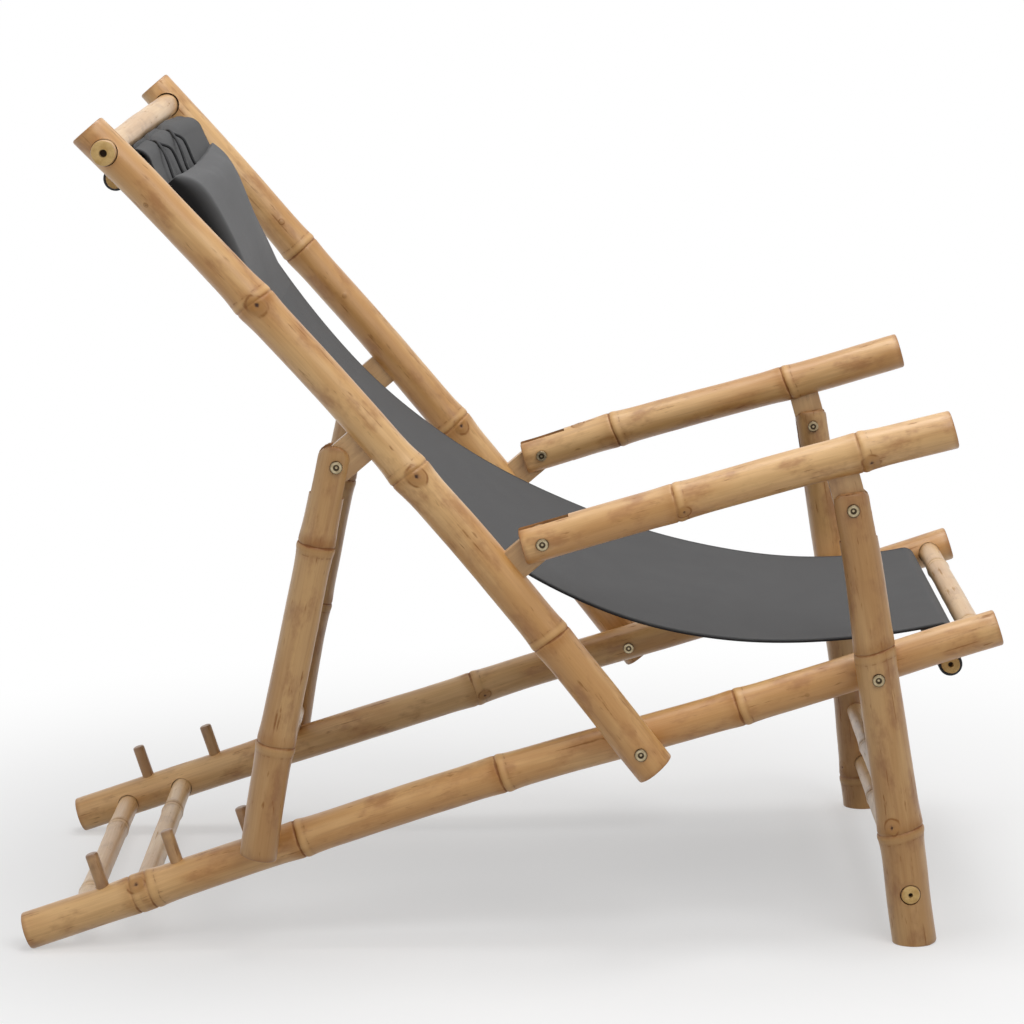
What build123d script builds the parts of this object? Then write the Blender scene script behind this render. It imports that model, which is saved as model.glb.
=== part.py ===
from build123d import *
import os
from math import asin, atan2, cos, degrees, radians, sin, sqrt

# Bamboo deck chair: two sloping rails, a hinged back, armrests, front legs and a prop, with a canvas
# sling and a head pillow. Sizes are in millimetres and angles in degrees. Side-view positions are
# (along, above): along a rail from its rear end, and square to it. The sitter's right side is -Y.

os.makedirs("parts", exist_ok=True)

# Rails
rail_length = 1068.0
rail_rear_diameter = 40.0
rail_front_diameter = 38.0
rail_half_spacing = 234.0
rail_slope = 16.6
rail_nodes = {"right": (131.0, 306.0, 528.0, 786.0), "left": (205.0, 489.0, 792.0)}

# Back poles, measured from the back pivot
back_pivot_along = 677.0
back_angle = 112.67
back_length_above = 848.5
back_length_below = 26.0
back_bottom_diameter = 42.6
back_top_diameter = 39.0
back_nodes = {"right": (175.0, 398.0, 631.0), "left": (150.0, 350.0, 622.0)}

# Armrests, measured from the arm hinge
arm_angle = -1.9
arm_length = 455.0
arm_overhang = 21.0
arm_diameter = 41.0
arm_nodes = {"right": (163.0, 359.0), "left": (110.0, 317.0)}

# Front legs
leg_pivot_along = 932.0
leg_top_diameter = 37.0
leg_bottom_diameter = 43.0
leg_overhang = 17.0
leg_shoulder = 8.0
leg_nodes = {"right": (167.0, 359.0), "left": (250.0, 440.0)}

# Prop behind the back
prop_top_diameter = 36.0
prop_bottom_diameter = 39.0
prop_tail = 22.0
prop_nodes = {"right": (104.0, 318.0), "left": (130.0, 280.0)}

# Flat tongues that the forked poles hinge on
tongue_width = 33.0
tongue_thickness = 14.0
arm_tongue_height = 232.7
arm_tongue_reach = 65.7
prop_tongue_height = 428.5
prop_tongue_reach = 41.5
leg_tongue_position = 313.0
leg_tongue_reach = 53.6
fork_depth = 33.0
fork_side_clearance = 0.4
prop_end_clearance = 1.2

# Recline pegs
peg_positions = (92.0, 175.0, 258.0)
peg_diameter = 13.5
peg_height = 40.0
peg_depth = 26.0
peg_easing = 1.2

# Crossbars and stretchers
rear_bar_positions = {"outer": 61.0, "inner": 127.0}
rear_bar_diameter = 23.0
front_bar_setback = 26.0
front_bar_position = rail_length - front_bar_setback
front_bar_diameter = 20.0
top_bar_setback = 24.5
top_bar_height = back_length_above - top_bar_setback
top_bar_diameter = 26.0
prop_bar_diameter = 23.0
stretcher_diameter = 20.0
lower_stretcher_drop = 230.0
upper_stretcher_drop = 166.0
tenon_past_axis = 6.0
tenon_proud = 1.0
rear_bar_node = 130.0
front_bar_nodes = (40.0, 405.0)
prop_bar_node = 230.0
stretcher_node = 200.0

# Hem rods that hold the sling
rod_diameter = 20.0
front_rod_setback = 58.0
front_rod_position = rail_length - front_rod_setback
front_rod_overhang = 16.0
top_rod_setback = 55.5
top_rod_height = back_length_above - top_rod_setback
top_rod_overhang = 12.0

# Canvas sling, in heights along the back pole and offsets in front of it
sling_half_width = 212.0
sling_thickness = 2.4
sling_sag_height = 494.0
sling_sag_depth = 19.5
sling_lap_height = 204.0
sling_lap_reach = 35.3
sling_roll_setback = 68.5
sling_roll_height = back_length_above - sling_roll_setback
sling_roll_reach = 22.0
sling_roll_radius = 17.0
sling_fold_radius = 12.0
sling_front_setback = 55.0
sling_front_along = rail_length - sling_front_setback
sling_front_above = 16.0
sling_lap_gap = 1.8

# Head pillow and its elastic cords
pillow_half_width = 198.0
pillow_top_setback = 91.5
pillow_height = 183.0
pillow_crown_drop = 35.0
pillow_top_height = back_length_above - pillow_top_setback
pillow_bottom_height = pillow_top_height - pillow_height
pillow_crown_height = pillow_top_height - pillow_crown_drop
pillow_crown = 38.0
pillow_end_crown = 9.0
pillow_draw_in = 5.0
pillow_shoulder = 0.86
pillow_top_bulge = 0.8
pillow_top_lean = 0.125
pillow_front_bulge = 0.66
cord_diameter = 3.0
cord_eyelet_spacing = 4.0
cord_spread = 66.0
cord_tail = 3.0
cord_tuck = 5.0
cord_loops = ((92.0, 122.0), (-24.0, 14.0))

# Bolts, sleeve nuts and washers
bolt_diameter = 6.0
head_diameter = 13.0
head_height = 3.5
hex_across_corners = 4.6
hex_depth = 2.0
head_easing = 0.8
nut_diameter = 12.0
nut_height = 5.0
nut_thread_depth = 3.5
spot_depth = 1.2
spot_clearance = 0.6
washer_thickness = 2.0
washer_diameter = 20.0
hinge_play = 2.2

# Small allowances
end_easing = 1.2
ridge_height = 1.1
ridge_half_width = 5.0
bolt_clearance = 0.05
running_clearance = 0.08
socket_clearance = 0.05
turning_gap = 0.3
foot_flat = 2.0

SIDES = {"right": 1, "left": -1}


def heading(angle):
    """Unit direction in the side view, counted from the rail's direction."""
    return Vector(cos(radians(angle)), sin(radians(angle)))


def angle_of(direction):
    return degrees(atan2(direction.Y, direction.X))


def rail_radius(along):
    return (rail_rear_diameter + (rail_front_diameter - rail_rear_diameter) * along / rail_length) / 2


# Directions and hinge points in the side view
rail_along = heading(0)
back_up = heading(back_angle)
back_front = heading(back_angle - 90)
arm_along = heading(arm_angle)
arm_down = heading(arm_angle - 90)
back_pivot = Vector(back_pivot_along, 0)
arm_hinge = back_pivot + back_up * arm_tongue_height + back_front * arm_tongue_reach
prop_hinge = back_pivot + back_up * prop_tongue_height - back_front * prop_tongue_reach
leg_hinge = arm_hinge + arm_along * leg_tongue_position + arm_down * leg_tongue_reach
leg_pivot = Vector(leg_pivot_along, 0)
leg_down = (leg_pivot - leg_hinge).normalized()
prop_bar_along = peg_positions[-1] + (peg_diameter + prop_bar_diameter) / 2 + turning_gap
prop_bar_above = rail_radius(peg_positions[-1]) + turning_gap + prop_bar_diameter / 2
prop_bar_point = Vector(prop_bar_along, prop_bar_above)
prop_down = (prop_bar_point - prop_hinge).normalized()


def back_point(height, front):
    """Side-view point at a height along the back pole and an offset in front of its axis."""
    return back_pivot + back_up * height + back_front * front


def back_radius(height):
    share = (height + back_length_below) / (back_length_above + back_length_below)
    return (back_bottom_diameter + (back_top_diameter - back_bottom_diameter) * share) / 2


# The outer poles pass the rails with a washer between
rail_pole_gap = washer_thickness + 2 * turning_gap
outer_half_spacing = rail_half_spacing + rail_radius(back_pivot_along) + rail_pole_gap + back_radius(0)

# Place of the side view: centred on the rails, with the rail ends and the feet on the ground
slope = radians(rail_slope)
rear_corner = -(rail_rear_diameter / 2 - end_easing) * sin(slope)
front_corner = rail_length * cos(slope) + (rail_front_diameter / 2 - end_easing) * sin(slope)
ground_drop = rail_rear_diameter / 2 * cos(slope) - end_easing * sin(slope)
side = Plane(
    origin=(-(rear_corner + front_corner) / 2, 0, ground_drop - foot_flat),
    x_dir=(cos(slope), 0, sin(slope)),
    z_dir=(0, -1, 0),
)


def placed(point, across):
    """World position of a side-view point at a distance towards the right side."""
    return side.from_local_coords(Vector(point.X, point.Y, across))


def turned(direction):
    """World direction of a side-view direction."""
    return side.x_dir * direction.X + side.y_dir * direction.Y


def pole_plane(start, direction, across):
    return Plane(origin=placed(start, across), x_dir=turned(direction), z_dir=side.z_dir)


def cross_plane(point, half_length):
    return Plane(origin=placed(point, -half_length), x_dir=side.z_dir, z_dir=side.x_dir)


def bamboo(plane, length, start_diameter, end_diameter, nodes=()):
    """A tapered pole along the plane's X axis, with a low ridge at each node and eased ends."""

    def radius(distance):
        return (start_diameter + (end_diameter - start_diameter) * distance / length) / 2

    outline = [(0, 0), (0, radius(0) - end_easing), (end_easing, radius(end_easing))]
    for node in nodes:
        before = node - ridge_half_width
        after = node + ridge_half_width
        outline += [(before, radius(before)), (node, radius(node) + ridge_height), (after, radius(after))]
    last = length - end_easing
    outline += [(last, radius(last)), (length, radius(length) - end_easing), (length, 0)]
    with BuildPart() as pole:
        with BuildSketch(plane):
            with BuildLine():
                Polyline(*outline, close=True)
            make_face()
        revolve(axis=Axis(plane.origin, plane.x_dir))
    return pole.part


def tongue(root, hinge, across, clearance=0.0):
    """A flat tongue from its socket at the root to a round end about its hinge."""
    reach = hinge - root
    width = tongue_width + 2 * clearance
    with BuildPart() as blank:
        with BuildSketch(side.offset(across)):
            with Locations(root + reach * 0.5 - reach.normalized() * (clearance / 2)):
                Rectangle(reach.length + clearance, width, rotation=angle_of(reach))
            with Locations(hinge):
                Circle(width / 2)
        extrude(amount=tongue_thickness / 2 + clearance, both=True)
    return blank.part


def fork_slot(end, inward, depth, across):
    """The slab that is sawn out of a pole's end to make a fork."""
    width = tongue_thickness + 2 * fork_side_clearance
    with BuildPart() as slot:
        with BuildSketch(side.offset(across)):
            with Locations(end + inward * (depth / 2 - end_easing)):
                Rectangle(depth + 2 * end_easing, 2 * arm_diameter, rotation=angle_of(inward))
        extrude(amount=width / 2, both=True)
    return slot.part


def shoulders(end, inward, width, corner_radius, across):
    """What is taken off a pole's end to round its corners in the side view."""
    with BuildPart() as offcut:
        with BuildSketch(side.offset(across)):
            with Locations(end):
                Rectangle(2 * corner_radius, 2 * width, rotation=angle_of(inward))
            with Locations(end + inward * width):
                RectangleRounded(
                    2 * width, width, corner_radius, rotation=angle_of(inward), mode=Mode.SUBTRACT
                )
        extrude(amount=width, both=True)
    return offcut.part


def cross_hole(point, radius, start, end):
    """A round cutter across the chair, from one distance to another."""
    with BuildPart() as cutter:
        with BuildSketch(side.offset(start)):
            with Locations(point):
                Circle(radius)
        extrude(amount=end - start)
    return cutter.part


bolt_hole_radius = bolt_diameter / 2 + bolt_clearance
running_hole_radius = bolt_diameter / 2 + running_clearance
spot_radius = head_diameter / 2 + spot_clearance


def bolt_seats(hinge, faces, sign):
    """A bolt hole through a fork, with flat seats for the head and the nut."""
    inner_face, outer_face = faces
    outside = sign * (outer_face + head_diameter)
    inside = sign * (inner_face - head_diameter)
    with BuildPart() as cutter:
        add(cross_hole(hinge, bolt_hole_radius, inside, outside))
        add(cross_hole(hinge, spot_radius, sign * (outer_face - spot_depth), outside))
        add(cross_hole(hinge, spot_radius, inside, sign * (inner_face + spot_depth)))
    return cutter.part


def bolt_pair(hinge, seat, tip):
    """Two hex-socket bolts, right and left, from the seat of the head to the tip of the shank."""
    with BuildPart() as bolts:
        with BuildSketch(side.offset(seat)):
            with Locations(hinge):
                Circle(head_diameter / 2)
        extrude(amount=head_height)
        rim = bolts.edges().filter_by(GeomType.CIRCLE).sort_by(Axis.Y)[0]
        fillet(rim, head_easing)
        with BuildSketch(side.offset(seat + head_height)):
            with Locations(hinge):
                RegularPolygon(hex_across_corners / 2, 6)
        extrude(amount=-hex_depth, mode=Mode.SUBTRACT)
        with BuildSketch(side.offset(tip)):
            with Locations(hinge):
                Circle(bolt_diameter / 2)
        extrude(amount=seat - tip)
        mirror(about=Plane.XZ)
    return bolts.part


def nut_pair(hinge, seat):
    """Two sleeve-nut caps, right and left, on the inner faces."""
    with BuildPart() as nuts:
        with BuildSketch(side.offset(seat - nut_height)):
            with Locations(hinge):
                Circle(nut_diameter / 2)
        extrude(amount=nut_height)
        rim = nuts.edges().filter_by(GeomType.CIRCLE).sort_by(Axis.Y)[-1]
        fillet(rim, head_easing)
        add(cross_hole(hinge, bolt_hole_radius, seat - nut_thread_depth, seat), mode=Mode.SUBTRACT)
        mirror(about=Plane.XZ)
    return nuts.part


def washer_pair(hinge, start):
    """Two washers, right and left, between a rail and the pole that turns beside it."""
    with BuildPart() as washers:
        with BuildSketch(side.offset(start)):
            with Locations(hinge):
                Circle(washer_diameter / 2)
                Circle(running_hole_radius, mode=Mode.SUBTRACT)
        extrude(amount=washer_thickness)
        mirror(about=Plane.XZ)
    return washers.part


# Rails, with blind sockets for the crossbars and pegs
rail_bars = [(Vector(along, 0), rear_bar_diameter) for along in rear_bar_positions.values()]
rail_bars.append((Vector(front_bar_position, 0), front_bar_diameter))
bar_end = rail_half_spacing + tenon_past_axis
for hand, sign in SIDES.items():
    across = sign * rail_half_spacing
    with BuildPart() as rail:
        add(
            bamboo(
                pole_plane(Vector(0, 0), rail_along, across),
                rail_length,
                rail_rear_diameter,
                rail_front_diameter,
                rail_nodes[hand],
            )
        )
        for pivot in (back_pivot, leg_pivot):
            inner_face = sign * (rail_half_spacing - rail_radius(pivot.X))
            spot_end = inner_face + sign * spot_depth
            far_end = sign * (rail_half_spacing + rail_rear_diameter)
            add(cross_hole(pivot, bolt_hole_radius, 0, far_end), mode=Mode.SUBTRACT)
            add(cross_hole(pivot, spot_radius, 0, spot_end), mode=Mode.SUBTRACT)
        for point, diameter in rail_bars:
            socket_end = sign * (bar_end + socket_clearance)
            add(cross_hole(point, diameter / 2 + socket_clearance, 0, socket_end), mode=Mode.SUBTRACT)
        for along in peg_positions:
            socket_floor = rail_radius(along) - peg_depth - socket_clearance
            peg_foot = placed(Vector(along, socket_floor), across)
            with Locations(Plane(origin=peg_foot, x_dir=side.x_dir, z_dir=side.y_dir)):
                Cylinder(
                    peg_diameter / 2 + socket_clearance,
                    peg_depth + peg_height,
                    align=(Align.CENTER, Align.CENTER, Align.MIN),
                    mode=Mode.SUBTRACT,
                )
        split(bisect_by=Plane.XY, keep=Keep.TOP)
    rail.part.label = f"rail_{hand}"
    export_step(rail.part, f"parts/rail_{hand}.step")

    with BuildPart() as pegs:
        for along in peg_positions:
            peg_foot = placed(Vector(along, rail_radius(along) - peg_depth), across)
            with Locations(Plane(origin=peg_foot, x_dir=side.x_dir, z_dir=side.y_dir)):
                Cylinder(
                    peg_diameter / 2,
                    peg_depth + peg_height,
                    align=(Align.CENTER, Align.CENTER, Align.MIN),
                )
        rims = pegs.edges().filter_by(GeomType.CIRCLE).sort_by(Axis(side.origin, side.y_dir))
        chamfer(rims[-len(peg_positions):], peg_easing)
    pegs.part.label = f"recline_pegs_{hand}"
    export_step(pegs.part, f"parts/recline_pegs_{hand}.step")

# Crossbars between the rails
for name, along in rear_bar_positions.items():
    with BuildPart() as rear_bar:
        plane = cross_plane(Vector(along, 0), bar_end)
        add(bamboo(plane, 2 * bar_end, rear_bar_diameter, rear_bar_diameter, (rear_bar_node,)))
    rear_bar.part.label = f"rear_crossbar_{name}"
    export_step(rear_bar.part, f"parts/rear_crossbar_{name}.step")

with BuildPart() as front_bar:
    plane = cross_plane(Vector(front_bar_position, 0), bar_end)
    add(bamboo(plane, 2 * bar_end, front_bar_diameter, front_bar_diameter, front_bar_nodes))
front_bar.part.label = "front_crossbar"
export_step(front_bar.part, "parts/front_crossbar.step")

# Front hem rod, drawn up under the rails by the sling
front_rod_above = -(rail_radius(front_rod_position) + rod_diameter / 2 + turning_gap)
front_rod_point = Vector(front_rod_position, front_rod_above)
front_rod_end = rail_half_spacing + front_rod_overhang
with BuildPart() as front_rod:
    add(bamboo(cross_plane(front_rod_point, front_rod_end), 2 * front_rod_end, rod_diameter, rod_diameter))
front_rod.part.label = "front_hem_rod"
export_step(front_rod.part, "parts/front_hem_rod.step")

# Back poles, with sockets for the tongues and the top crossbar
arm_tongue_root = back_point(arm_tongue_height, 0)
prop_tongue_root = back_point(prop_tongue_height, 0)
top_bar_point = back_point(top_bar_height, 0)
back_foot = back_point(-back_length_below, 0)
back_length = back_length_above + back_length_below
outer_reach = outer_half_spacing + back_bottom_diameter
for hand, sign in SIDES.items():
    across = sign * outer_half_spacing
    outside = sign * outer_reach
    spot_floor = sign * (outer_half_spacing + back_radius(0) - spot_depth)
    with BuildPart() as back_pole:
        add(
            bamboo(
                pole_plane(back_foot, back_up, across),
                back_length,
                back_bottom_diameter,
                back_top_diameter,
                back_nodes[hand],
            )
        )
        add(cross_hole(back_pivot, running_hole_radius, 0, outside), mode=Mode.SUBTRACT)
        add(cross_hole(back_pivot, spot_radius, spot_floor, outside), mode=Mode.SUBTRACT)
        bar_hole_radius = top_bar_diameter / 2 + socket_clearance
        add(cross_hole(top_bar_point, bar_hole_radius, 0, outside), mode=Mode.SUBTRACT)
        add(tongue(arm_tongue_root, arm_hinge, across, socket_clearance), mode=Mode.SUBTRACT)
        add(tongue(prop_tongue_root, prop_hinge, across, socket_clearance), mode=Mode.SUBTRACT)
    back_pole.part.label = f"back_pole_{hand}"
    export_step(back_pole.part, f"parts/back_pole_{hand}.step")

    with BuildPart() as arm_tongue:
        add(tongue(arm_tongue_root, arm_hinge, across))
        add(cross_hole(arm_hinge, running_hole_radius, 0, outside), mode=Mode.SUBTRACT)
    arm_tongue.part.label = f"arm_tongue_{hand}"
    export_step(arm_tongue.part, f"parts/arm_tongue_{hand}.step")

    with BuildPart() as prop_tongue:
        add(tongue(prop_tongue_root, prop_hinge, across))
        add(cross_hole(prop_hinge, running_hole_radius, 0, outside), mode=Mode.SUBTRACT)
    prop_tongue.part.label = f"prop_tongue_{hand}"
    export_step(prop_tongue.part, f"parts/prop_tongue_{hand}.step")

# Top crossbar, tenoned right through the back poles
top_bar_end = outer_half_spacing + back_radius(top_bar_height) + tenon_proud
with BuildPart() as top_bar:
    add(bamboo(cross_plane(top_bar_point, top_bar_end), 2 * top_bar_end, top_bar_diameter, top_bar_diameter))
top_bar.part.label = "top_crossbar"
export_step(top_bar.part, "parts/top_crossbar.step")

# Top hem rod, drawn against the backs of the poles by the sling
top_rod_front = -(back_radius(top_rod_height) + rod_diameter / 2 + turning_gap)
top_rod_point = back_point(top_rod_height, top_rod_front)
top_rod_end = outer_half_spacing + top_rod_overhang
with BuildPart() as top_rod:
    add(bamboo(cross_plane(top_rod_point, top_rod_end), 2 * top_rod_end, rod_diameter, rod_diameter))
top_rod.part.label = "top_hem_rod"
export_step(top_rod.part, "parts/top_hem_rod.step")

# Armrests, forked over the back's tongues
leg_tongue_root = arm_hinge + arm_along * leg_tongue_position
arm_rear = arm_hinge - arm_along * arm_overhang
arm_faces = (outer_half_spacing - arm_diameter / 2, outer_half_spacing + arm_diameter / 2)
for hand, sign in SIDES.items():
    across = sign * outer_half_spacing
    outside = sign * outer_reach
    with BuildPart() as armrest:
        add(
            bamboo(
                pole_plane(arm_rear, arm_along, across),
                arm_length,
                arm_diameter,
                arm_diameter,
                arm_nodes[hand],
            )
        )
        add(fork_slot(arm_rear, arm_along, arm_overhang + fork_depth, across), mode=Mode.SUBTRACT)
        add(bolt_seats(arm_hinge, arm_faces, sign), mode=Mode.SUBTRACT)
        add(tongue(leg_tongue_root, leg_hinge, across, socket_clearance), mode=Mode.SUBTRACT)
    armrest.part.label = f"armrest_{hand}"
    export_step(armrest.part, f"parts/armrest_{hand}.step")

    with BuildPart() as leg_tongue:
        add(tongue(leg_tongue_root, leg_hinge, across))
        add(cross_hole(leg_hinge, bolt_diameter / 2 + hinge_play, 0, outside), mode=Mode.SUBTRACT)
    leg_tongue.part.label = f"leg_tongue_{hand}"
    export_step(leg_tongue.part, f"parts/leg_tongue_{hand}.step")

# Front legs, forked at the top and standing on the ground
leg_top = leg_hinge - leg_down * leg_overhang
leg_lean = turned(leg_down)
foot_corner = leg_bottom_diameter / 2 * abs(leg_lean.X) - end_easing * abs(leg_lean.Z)
leg_below_pivot = (placed(leg_pivot, 0).Z + foot_flat - foot_corner) / abs(leg_lean.Z)
leg_length = (leg_pivot - leg_top).length + leg_below_pivot
lower_stretcher_point = leg_pivot + leg_down * lower_stretcher_drop
upper_stretcher_point = leg_pivot + leg_down * upper_stretcher_drop


def leg_radius(point):
    share = (point - leg_top).length / leg_length
    return (leg_top_diameter + (leg_bottom_diameter - leg_top_diameter) * share) / 2


leg_hinge_faces = (outer_half_spacing - leg_radius(leg_hinge), outer_half_spacing + leg_radius(leg_hinge))
leg_pivot_face = outer_half_spacing + leg_radius(leg_pivot)
upper_stretcher_end = outer_half_spacing + tenon_past_axis
for hand, sign in SIDES.items():
    across = sign * outer_half_spacing
    outside = sign * outer_reach
    with BuildPart() as front_leg:
        add(
            bamboo(
                pole_plane(leg_top, leg_down, across),
                leg_length,
                leg_top_diameter,
                leg_bottom_diameter,
                leg_nodes[hand],
            )
        )
        add(shoulders(leg_top, leg_down, leg_top_diameter, leg_shoulder, across), mode=Mode.SUBTRACT)
        add(fork_slot(leg_top, leg_down, leg_overhang + fork_depth, across), mode=Mode.SUBTRACT)
        add(bolt_seats(leg_hinge, leg_hinge_faces, sign), mode=Mode.SUBTRACT)
        add(cross_hole(leg_pivot, running_hole_radius, 0, outside), mode=Mode.SUBTRACT)
        pivot_spot = sign * (leg_pivot_face - spot_depth)
        add(cross_hole(leg_pivot, spot_radius, pivot_spot, outside), mode=Mode.SUBTRACT)
        tenon_radius = stretcher_diameter / 2 + socket_clearance
        add(cross_hole(lower_stretcher_point, tenon_radius, 0, outside), mode=Mode.SUBTRACT)
        socket_end = sign * (upper_stretcher_end + socket_clearance)
        add(cross_hole(upper_stretcher_point, tenon_radius, 0, socket_end), mode=Mode.SUBTRACT)
        split(bisect_by=Plane.XY, keep=Keep.TOP)
    front_leg.part.label = f"front_leg_{hand}"
    export_step(front_leg.part, f"parts/front_leg_{hand}.step")

# Stretchers between the front legs: the lower one shows its tenons outside
lower_stretcher_end = outer_half_spacing + leg_radius(lower_stretcher_point) + tenon_proud
stretchers = {
    "lower": (lower_stretcher_point, lower_stretcher_end),
    "upper": (upper_stretcher_point, upper_stretcher_end),
}
for name, (point, half_length) in stretchers.items():
    with BuildPart() as stretcher:
        plane = cross_plane(point, half_length)
        add(bamboo(plane, 2 * half_length, stretcher_diameter, stretcher_diameter, (stretcher_node,)))
    stretcher.part.label = f"{name}_stretcher"
    export_step(stretcher.part, f"parts/{name}_stretcher.step")

# Prop legs, forked over the back's rear tongues, and the bar that drops in front of the pegs
prop_end_radius = prop_tongue_reach - back_radius(prop_tongue_height) - prop_end_clearance
prop_top = prop_hinge - prop_down * prop_end_radius
prop_length = prop_end_radius + (prop_bar_point - prop_hinge).length + prop_tail
prop_faces = (outer_half_spacing - prop_top_diameter / 2, outer_half_spacing + prop_top_diameter / 2)
prop_bar_end = outer_half_spacing + tenon_past_axis
for hand, sign in SIDES.items():
    across = sign * outer_half_spacing
    with BuildPart() as prop_leg:
        add(
            bamboo(
                pole_plane(prop_top, prop_down, across),
                prop_length,
                prop_top_diameter,
                prop_bottom_diameter,
                prop_nodes[hand],
            )
        )
        with BuildSketch(side.offset(across)):
            with Locations(prop_top):
                Rectangle(2 * prop_end_radius, 3 * prop_end_radius, rotation=angle_of(prop_down))
            with Locations(prop_hinge):
                Circle(prop_end_radius, mode=Mode.SUBTRACT)
        extrude(amount=prop_top_diameter, both=True, mode=Mode.SUBTRACT)
        add(fork_slot(prop_top, prop_down, prop_end_radius + fork_depth, across), mode=Mode.SUBTRACT)
        add(bolt_seats(prop_hinge, prop_faces, sign), mode=Mode.SUBTRACT)
        bar_radius = prop_bar_diameter / 2 + socket_clearance
        socket_end = sign * (prop_bar_end + socket_clearance)
        add(cross_hole(prop_bar_point, bar_radius, 0, socket_end), mode=Mode.SUBTRACT)
    prop_leg.part.label = f"prop_leg_{hand}"
    export_step(prop_leg.part, f"parts/prop_leg_{hand}.step")

with BuildPart() as prop_bar:
    plane = cross_plane(prop_bar_point, prop_bar_end)
    add(bamboo(plane, 2 * prop_bar_end, prop_bar_diameter, prop_bar_diameter, (prop_bar_node,)))
prop_bar.part.label = "prop_crossbar"
export_step(prop_bar.part, "parts/prop_crossbar.step")

# Bolts, nuts and washers at the two pivots on the rails
back_pole_face = outer_half_spacing + back_radius(0)
pivots = {"back_pivot": (back_pivot, back_pole_face), "leg_pivot": (leg_pivot, leg_pivot_face)}
for name, (pivot, pole_face) in pivots.items():
    nut_seat = rail_half_spacing - rail_radius(pivot.X) + spot_depth
    with BuildPart() as bolts:
        head_seat = pole_face - spot_depth + turning_gap
        add(bolt_pair(pivot, head_seat, nut_seat - nut_thread_depth + bolt_clearance))
    bolts.part.label = f"{name}_bolts"
    export_step(bolts.part, f"parts/{name}_bolts.step")

    with BuildPart() as nuts:
        add(nut_pair(pivot, nut_seat))
    nuts.part.label = f"{name}_nuts"
    export_step(nuts.part, f"parts/{name}_nuts.step")

    with BuildPart() as washers:
        add(washer_pair(pivot, rail_half_spacing + rail_radius(pivot.X) + turning_gap))
    washers.part.label = f"{name}_washers"
    export_step(washers.part, f"parts/{name}_washers.step")

# Bolts and nuts through the three kinds of fork
hinges = {
    "arm_hinge": (arm_hinge, arm_faces),
    "leg_hinge": (leg_hinge, leg_hinge_faces),
    "prop_hinge": (prop_hinge, prop_faces),
}
for name, (hinge, (inner_face, outer_face)) in hinges.items():
    nut_seat = inner_face + spot_depth
    with BuildPart() as bolts:
        add(bolt_pair(hinge, outer_face - spot_depth, nut_seat - nut_thread_depth + bolt_clearance))
    bolts.part.label = f"{name}_bolts"
    export_step(bolts.part, f"parts/{name}_bolts.step")

    with BuildPart() as nuts:
        add(nut_pair(hinge, nut_seat))
    nuts.part.label = f"{name}_nuts"
    export_step(nuts.part, f"parts/{name}_nuts.step")

# Run of the sling in the side view: up the back over the roll, and along the seat over the front fold
pocket_radius = rod_diameter / 2 + turning_gap + sling_thickness / 2
sag_point = back_point(sling_sag_height, -sling_sag_depth)
lap_point = back_point(sling_lap_height, sling_lap_reach)
roll_point = back_point(sling_roll_height, sling_roll_reach)
front_point = Vector(sling_front_along, sling_front_above)
lower_back_run = TangentArc(sag_point, lap_point, tangent=-back_up)
upper_back_run = TangentArc(sag_point, roll_point, tangent=back_up)
seat_run = TangentArc(lap_point, front_point, tangent=lower_back_run % 1)


def sling_bend(run, radius, rod_point, turn_sign):
    """The bend at the end of a run, and the straight stretch from it to the rod's pocket."""
    start = run @ 1
    tangent = run % 1
    centre = start + tangent.rotate(Axis.Z, 90 * turn_sign) * radius
    reach = rod_point - centre
    slant = degrees(asin((radius - pocket_radius) / reach.length))
    turn = (turn_sign * (angle_of(reach) - angle_of(tangent)) + slant) % 360
    bend = JernArc(start, tangent, radius, turn_sign * turn)
    outward = (bend % 1).rotate(Axis.Z, -90 * turn_sign)
    return bend, Line(bend @ 1, rod_point + outward * pocket_radius)


roll_bend, roll_tail = sling_bend(upper_back_run, sling_roll_radius, top_rod_point, 1)
fold_bend, fold_tail = sling_bend(seat_run, sling_fold_radius, front_rod_point, -1)

with BuildPart() as sling_seat:
    with BuildSketch(side):
        with BuildLine():
            add(seat_run)
            add(fold_bend)
            add(fold_tail)
        trace(line_width=sling_thickness)
        with Locations(front_rod_point):
            Circle(pocket_radius + sling_thickness / 2)
            Circle(pocket_radius - sling_thickness / 2, mode=Mode.SUBTRACT)
    extrude(amount=sling_half_width, both=True)
sling_seat.part.label = "sling_seat"
export_step(sling_seat.part, "parts/sling_seat.step")

with BuildPart() as sling_back:
    with BuildSketch(side):
        with BuildLine():
            add(lower_back_run.trim(0, 1 - sling_lap_gap / lower_back_run.length))
            add(upper_back_run)
            add(roll_bend)
            add(roll_tail)
        trace(line_width=sling_thickness)
        with Locations(top_rod_point):
            Circle(pocket_radius + sling_thickness / 2)
            Circle(pocket_radius - sling_thickness / 2, mode=Mode.SUBTRACT)
    extrude(amount=sling_half_width, both=True)
sling_back.part.label = "sling_back"
export_step(sling_back.part, "parts/sling_back.step")

# Head pillow: a crowned wedge on the sling, with its long sides drawn in between the corners
upper_back_radius = upper_back_run.radius


def sling_front(height, lift):
    """Side-view point at a height along the back, lifted off the front of the upper sling."""
    rise = height - sling_sag_height
    bow = upper_back_radius - sqrt(upper_back_radius**2 - rise**2)
    return back_point(height, bow - sling_sag_depth + sling_thickness / 2 + lift)


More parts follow.
